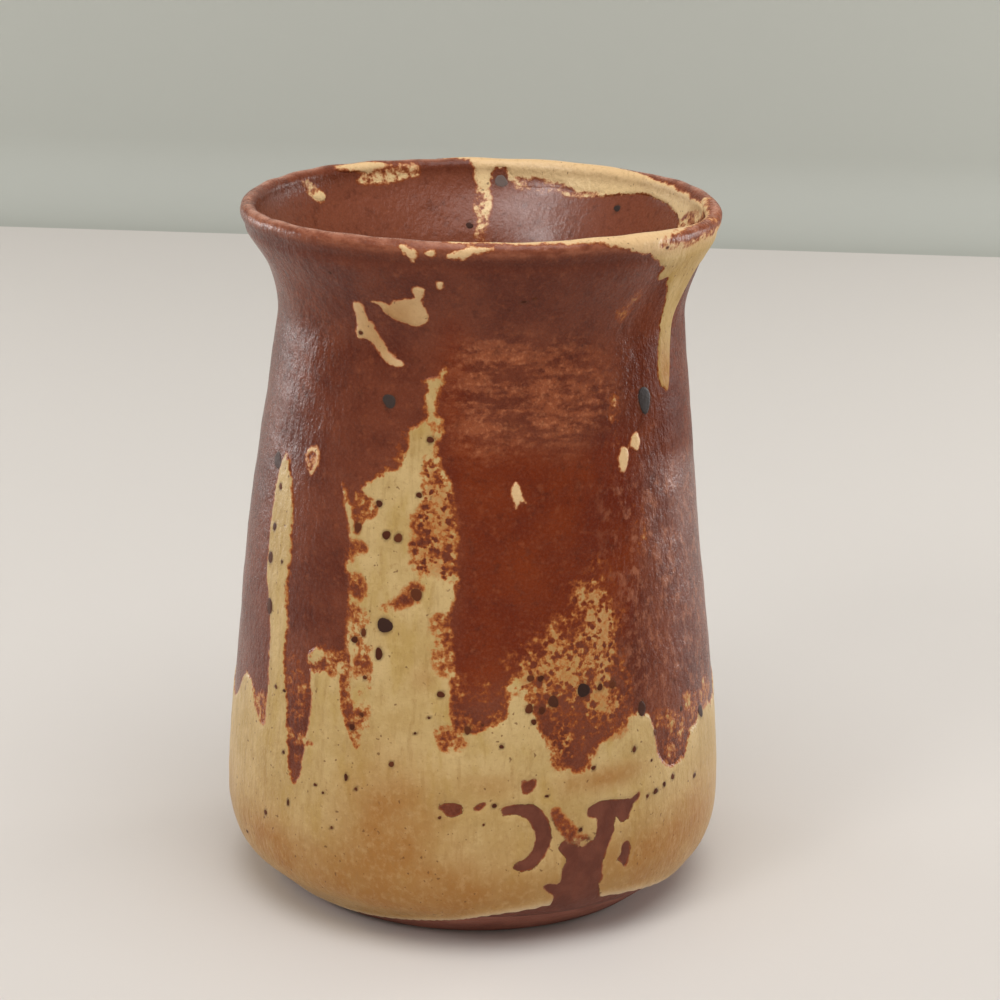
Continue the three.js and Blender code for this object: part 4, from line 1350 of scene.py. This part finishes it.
def glaze_depth(s, place_mm, grains):
    """How much cream lies at a place: ragged at the edge of a pour, in blots where the glazes mingle."""
    blots = s.noise(place_mm, size=2.4, detail=3.0, rough=0.6)
    clouds = s.noise(place_mm, size=7.0, detail=1.0)
    uneven = s.plus(s.between(blots, -1.0, 1.0), s.between(grains, -0.8, 0.8))
    uneven = s.plus(uneven, s.between(clouds, -0.6, 0.6))
    ragged = s.between(s.field("crisp"), 1.3, 0.45)
    steep = s.between(s.field("crisp"), 2.2, 4.5)
    edge = s.times(s.plus(s.field("cream"), s.times(uneven, ragged)), steep)
    edge = s.least(s.most(edge, -EDGE_LIMIT), EDGE_LIMIT)
    share = s.times(s.minus(s.field("cover"), 0.5), MINGLED_STEEP)
    mingled = s.plus(share, s.times(uneven, MINGLED_STEEP))
    depth = s.plus(edge, s.times(s.field("mingled"), s.minus(mingled, edge)))
    netted = s.times(s.field("netted"), s.field("mingled"))
    depth = s.minus(depth, s.times(s.times(netted, s.dots(place_mm, size=1.6)), 2.2))
    return s.least(depth, s.between(netted, 2.0, s.between(grains, 0.0, 1.4)))


def glaze_colour(s, place_mm, depth, fine, grains, bare):
    """Iron and cream glaze, rust and amber where they meet, bare clay, and brown stains round the spots."""
    iron = iron_colour(s, place_mm, fine, grains)
    clay_cloud = s.step(s.noise(place_mm, size=4.0, detail=4.0), 0.35, 0.65)
    clay = s.blend(clay_cloud, PATCH_CLAY, PATCH_CLAY_LIGHT)
    rust = s.blend(s.step(depth, -1.2, -0.1), s.blend(bare, iron, clay), s.blend(bare, RUST, clay))
    rim_cloud = s.step(s.noise(place_mm, size=5.0, detail=3.0), 0.4, 0.6)
    rim = s.blend(rim_cloud, RIM_DARK, RIM_LIGHT)
    fringe = s.blend(s.field("pale"), s.blend(s.field("crisp"), AMBER, rim), SPLASH_AMBER)
    amber = s.blend(s.step(depth, -0.4, 0.6), rust, fringe)
    colour = s.blend(s.step(depth, 0.3, 1.2), amber, cream_colour(s, place_mm, grains))
    return s.tint(colour, s.field("halo"), 0.8, HALO)


def glaze_material(name):
    """Both glazes in one finish, so that a colour's edge runs on from the coat to the pour on it."""
    material, s, shader = new_material(name)
    place_mm = s.millimetres()
    fine = s.noise(place_mm, size=0.7, detail=3.0, rough=0.6)
    grains = s.noise(place_mm, size=1.0, detail=3.0, rough=0.65)
    depth = glaze_depth(s, place_mm, grains)
    bare = s.step(s.plus(s.field("bare"), s.between(grains, -0.5, 0.5)), -0.2, 0.2)
    covered = s.step(depth, -0.4, 0.8)
    s.feed(shader.inputs["Base Color"], glaze_colour(s, place_mm, depth, fine, grains, bare))

    rough = s.minus(s.between(covered, 0.28, 0.36), s.times(s.field("sheen"), 0.07))
    rough_clay = s.times(bare, s.between(covered, 0.2, 0.0))
    s.feed(shader.inputs["Roughness"], s.plus(s.plus(rough, rough_clay), s.between(fine, -0.1, 0.1)))
    dry = s.most(s.field("wrinkled"), s.field("flecked"))
    dry = s.most(dry, s.times(s.field("dull"), 2.5))
    shine = s.minus(s.between(s.field("sheen"), 0.22, 0.9), s.times(dry, 0.08))
    s.feed(shader.inputs["Specular IOR Level"], shine)
    s.feed(shader.inputs["Coat Weight"], s.field("sheen"))
    shader.inputs["Coat Roughness"].default_value = 0.24

    drawn = s.noise(s.millimetres((1.0, 1.0, 0.6)), size=1.8, detail=4.0, rough=0.6)
    relief = s.plus(drawn, s.times(fine, 0.3))
    creased = s.most(s.times(s.field("wrinkled"), 0.5), s.field("sheen"))
    folds = s.noise(place_mm, size=3.4, detail=5.0, rough=0.6, bent=0.8)
    relief = s.plus(relief, s.times(creased, folds))
    bump(s, shader, s.plus(relief, s.times(covered, 0.08)), GLAZE_RELIEF)
    return material


def clay_material():
    """Bare fired clay of the foot: dull red-brown, grainy, with darker smears."""
    material, s, shader = new_material("bare_clay")
    smear = s.noise(s.millimetres((1.0, 1.0, 2.5)), size=9.0, detail=4.0)
    grain = s.noise(s.millimetres(), size=0.7, detail=4.0, rough=0.65)
    colour = s.blend(s.step(smear, 0.35, 0.65), FOOT_CLAY, FOOT_CLAY_DARK)
    colour = s.tint(colour, s.step(grain, 0.45, 0.7), 0.35, CLAY_GRAIN)
    s.feed(shader.inputs["Base Color"], colour)
    s.feed(shader.inputs["Roughness"], s.between(grain, 0.62, 0.86))
    bump(s, shader, grain, CLAY_RELIEF)
    return material


def spot_material():
    """Melted iron: nearly black brown, some of it blue-grey, glossier than the glaze round it."""
    material, s, shader = new_material("iron_spot")
    grain = s.noise(s.millimetres(), size=0.8, detail=3.0)
    brown = s.blend(s.field("shade"), SPOT_BROWN, SPOT_BROWN_LIGHT)
    colour = s.blend(s.field("blue"), brown, SPOT_BLUE)
    # Past 1 the blue turns to a paler grey: the spot's own on the outside, partly painted sheen on the first
    # inside the mouth
    colour = s.blend(s.minus(s.field("blue"), 1.0), colour, SPOT_GREY_AND_SHEEN)
    s.feed(shader.inputs["Base Color"], s.tint(colour, grain, 0.2, SPOT_GRAIN))
    s.feed(shader.inputs["Roughness"], s.between(grain, 0.3, 0.6))
    shader.inputs["Specular IOR Level"].default_value = 0.1
    bump(s, shader, grain, SPOT_RELIEF)
    return material


def plain_stage():
    """A pale floor and a grey-green backdrop, joined by a soft cove and turned a little to the viewer."""
    cove_start = STAGE_BACK - STAGE_COVE
    cove = arc((cove_start, STAGE_COVE), STAGE_COVE, -90, 0, STAGE_COVE_STEPS).tolist()
    parts = {
        "studio_floor": ([(STAGE_FRONT, 0.0), (cove_start, 0.0)], FLOOR_PALE),
        "studio_backdrop": (cove + [(STAGE_BACK, STAGE_RISE)], BACKDROP_GREY),
    }
    for name, (line, colour) in parts.items():
        vertices = [(x, y + STAGE_LEAN * x, z) for y, z in line for x in (-STAGE_HALF, STAGE_HALF)]
        faces = [(2 * i, 2 * i + 1, 2 * i + 3, 2 * i + 2) for i in range(len(line) - 1)]
        material, _, shader = new_material(name)
        shader.inputs["Base Color"].default_value = colour
        shader.inputs["Roughness"].default_value = STAGE_ROUGHNESS
        stage = new_object(name, vertices, faces, material)


def soft_lights():
    """A wide soft light overhead, a window at the left, one low behind each side, and an even fill."""
    for name, (spot, width, power) in LAMPS.items():
        lamp = bpy.data.lights.new(name, "AREA")
        lamp.shape = "DISK"
        lamp.size = width
        lamp.energy = power
        holder = bpy.data.objects.new(name, lamp)
        holder.location = spot
        holder.rotation_euler = (VIEW_CENTRE - Vector(spot)).to_track_quat("-Z", "Y").to_euler()
        bpy.context.scene.collection.objects.link(holder)
    world = bpy.data.worlds.new("fill")
    world.use_nodes = True
    sky = world.node_tree.nodes["Background"]
    sky.inputs["Color"].default_value = FILL_COLOUR
    sky.inputs["Strength"].default_value = FILL_STRENGTH
    bpy.context.scene.world = world


def turned_pair(first, second, degrees):
    """Two directions at right angles, turned in their plane, the first towards the second."""
    turn = math.radians(degrees)
    return math.cos(turn) * first + math.sin(turn) * second, math.cos(turn) * second - math.sin(turn) * first


def photo_camera():
    """The camera of the photograph, turned a little off the line to the middle of the jug."""
    right = Vector((1.0, 0.0, 0.0))
    ahead, up = turned_pair(Vector((0.0, 1.0, 0.0)), Vector((0.0, 0.0, 1.0)), -VIEW_DOWN)
    pitched, upright = turned_pair(ahead, up, VIEW_PITCH)
    gaze, level = turned_pair(pitched, right, VIEW_YAW)
    across, upward = turned_pair(level, upright, VIEW_ROLL)
    lens = bpy.data.cameras.new("photo_camera")
    lens.sensor_width = SENSOR
    lens.lens = FOCAL_PIXELS * SENSOR / FRAME_PIXELS
    lens.clip_start = NEAR_CLIP
    camera = bpy.data.objects.new("photo_camera", lens)
    turn = Matrix((across, upward, -gaze)).transposed().to_4x4()
    camera.matrix_world = Matrix.Translation(VIEW_CENTRE - VIEW_DISTANCE * ahead) @ turn
    bpy.context.scene.collection.objects.link(camera)
    bpy.context.scene.camera = camera


bpy.context.scene.view_settings.view_transform = "Standard"
clay_body(clay_material())
iron_coat(glaze_material("iron_red_glaze"))
cream_pours(glaze_material("cream_glaze"))
iron_spots(spot_material())
plain_stage()
soft_lights()
photo_camera()
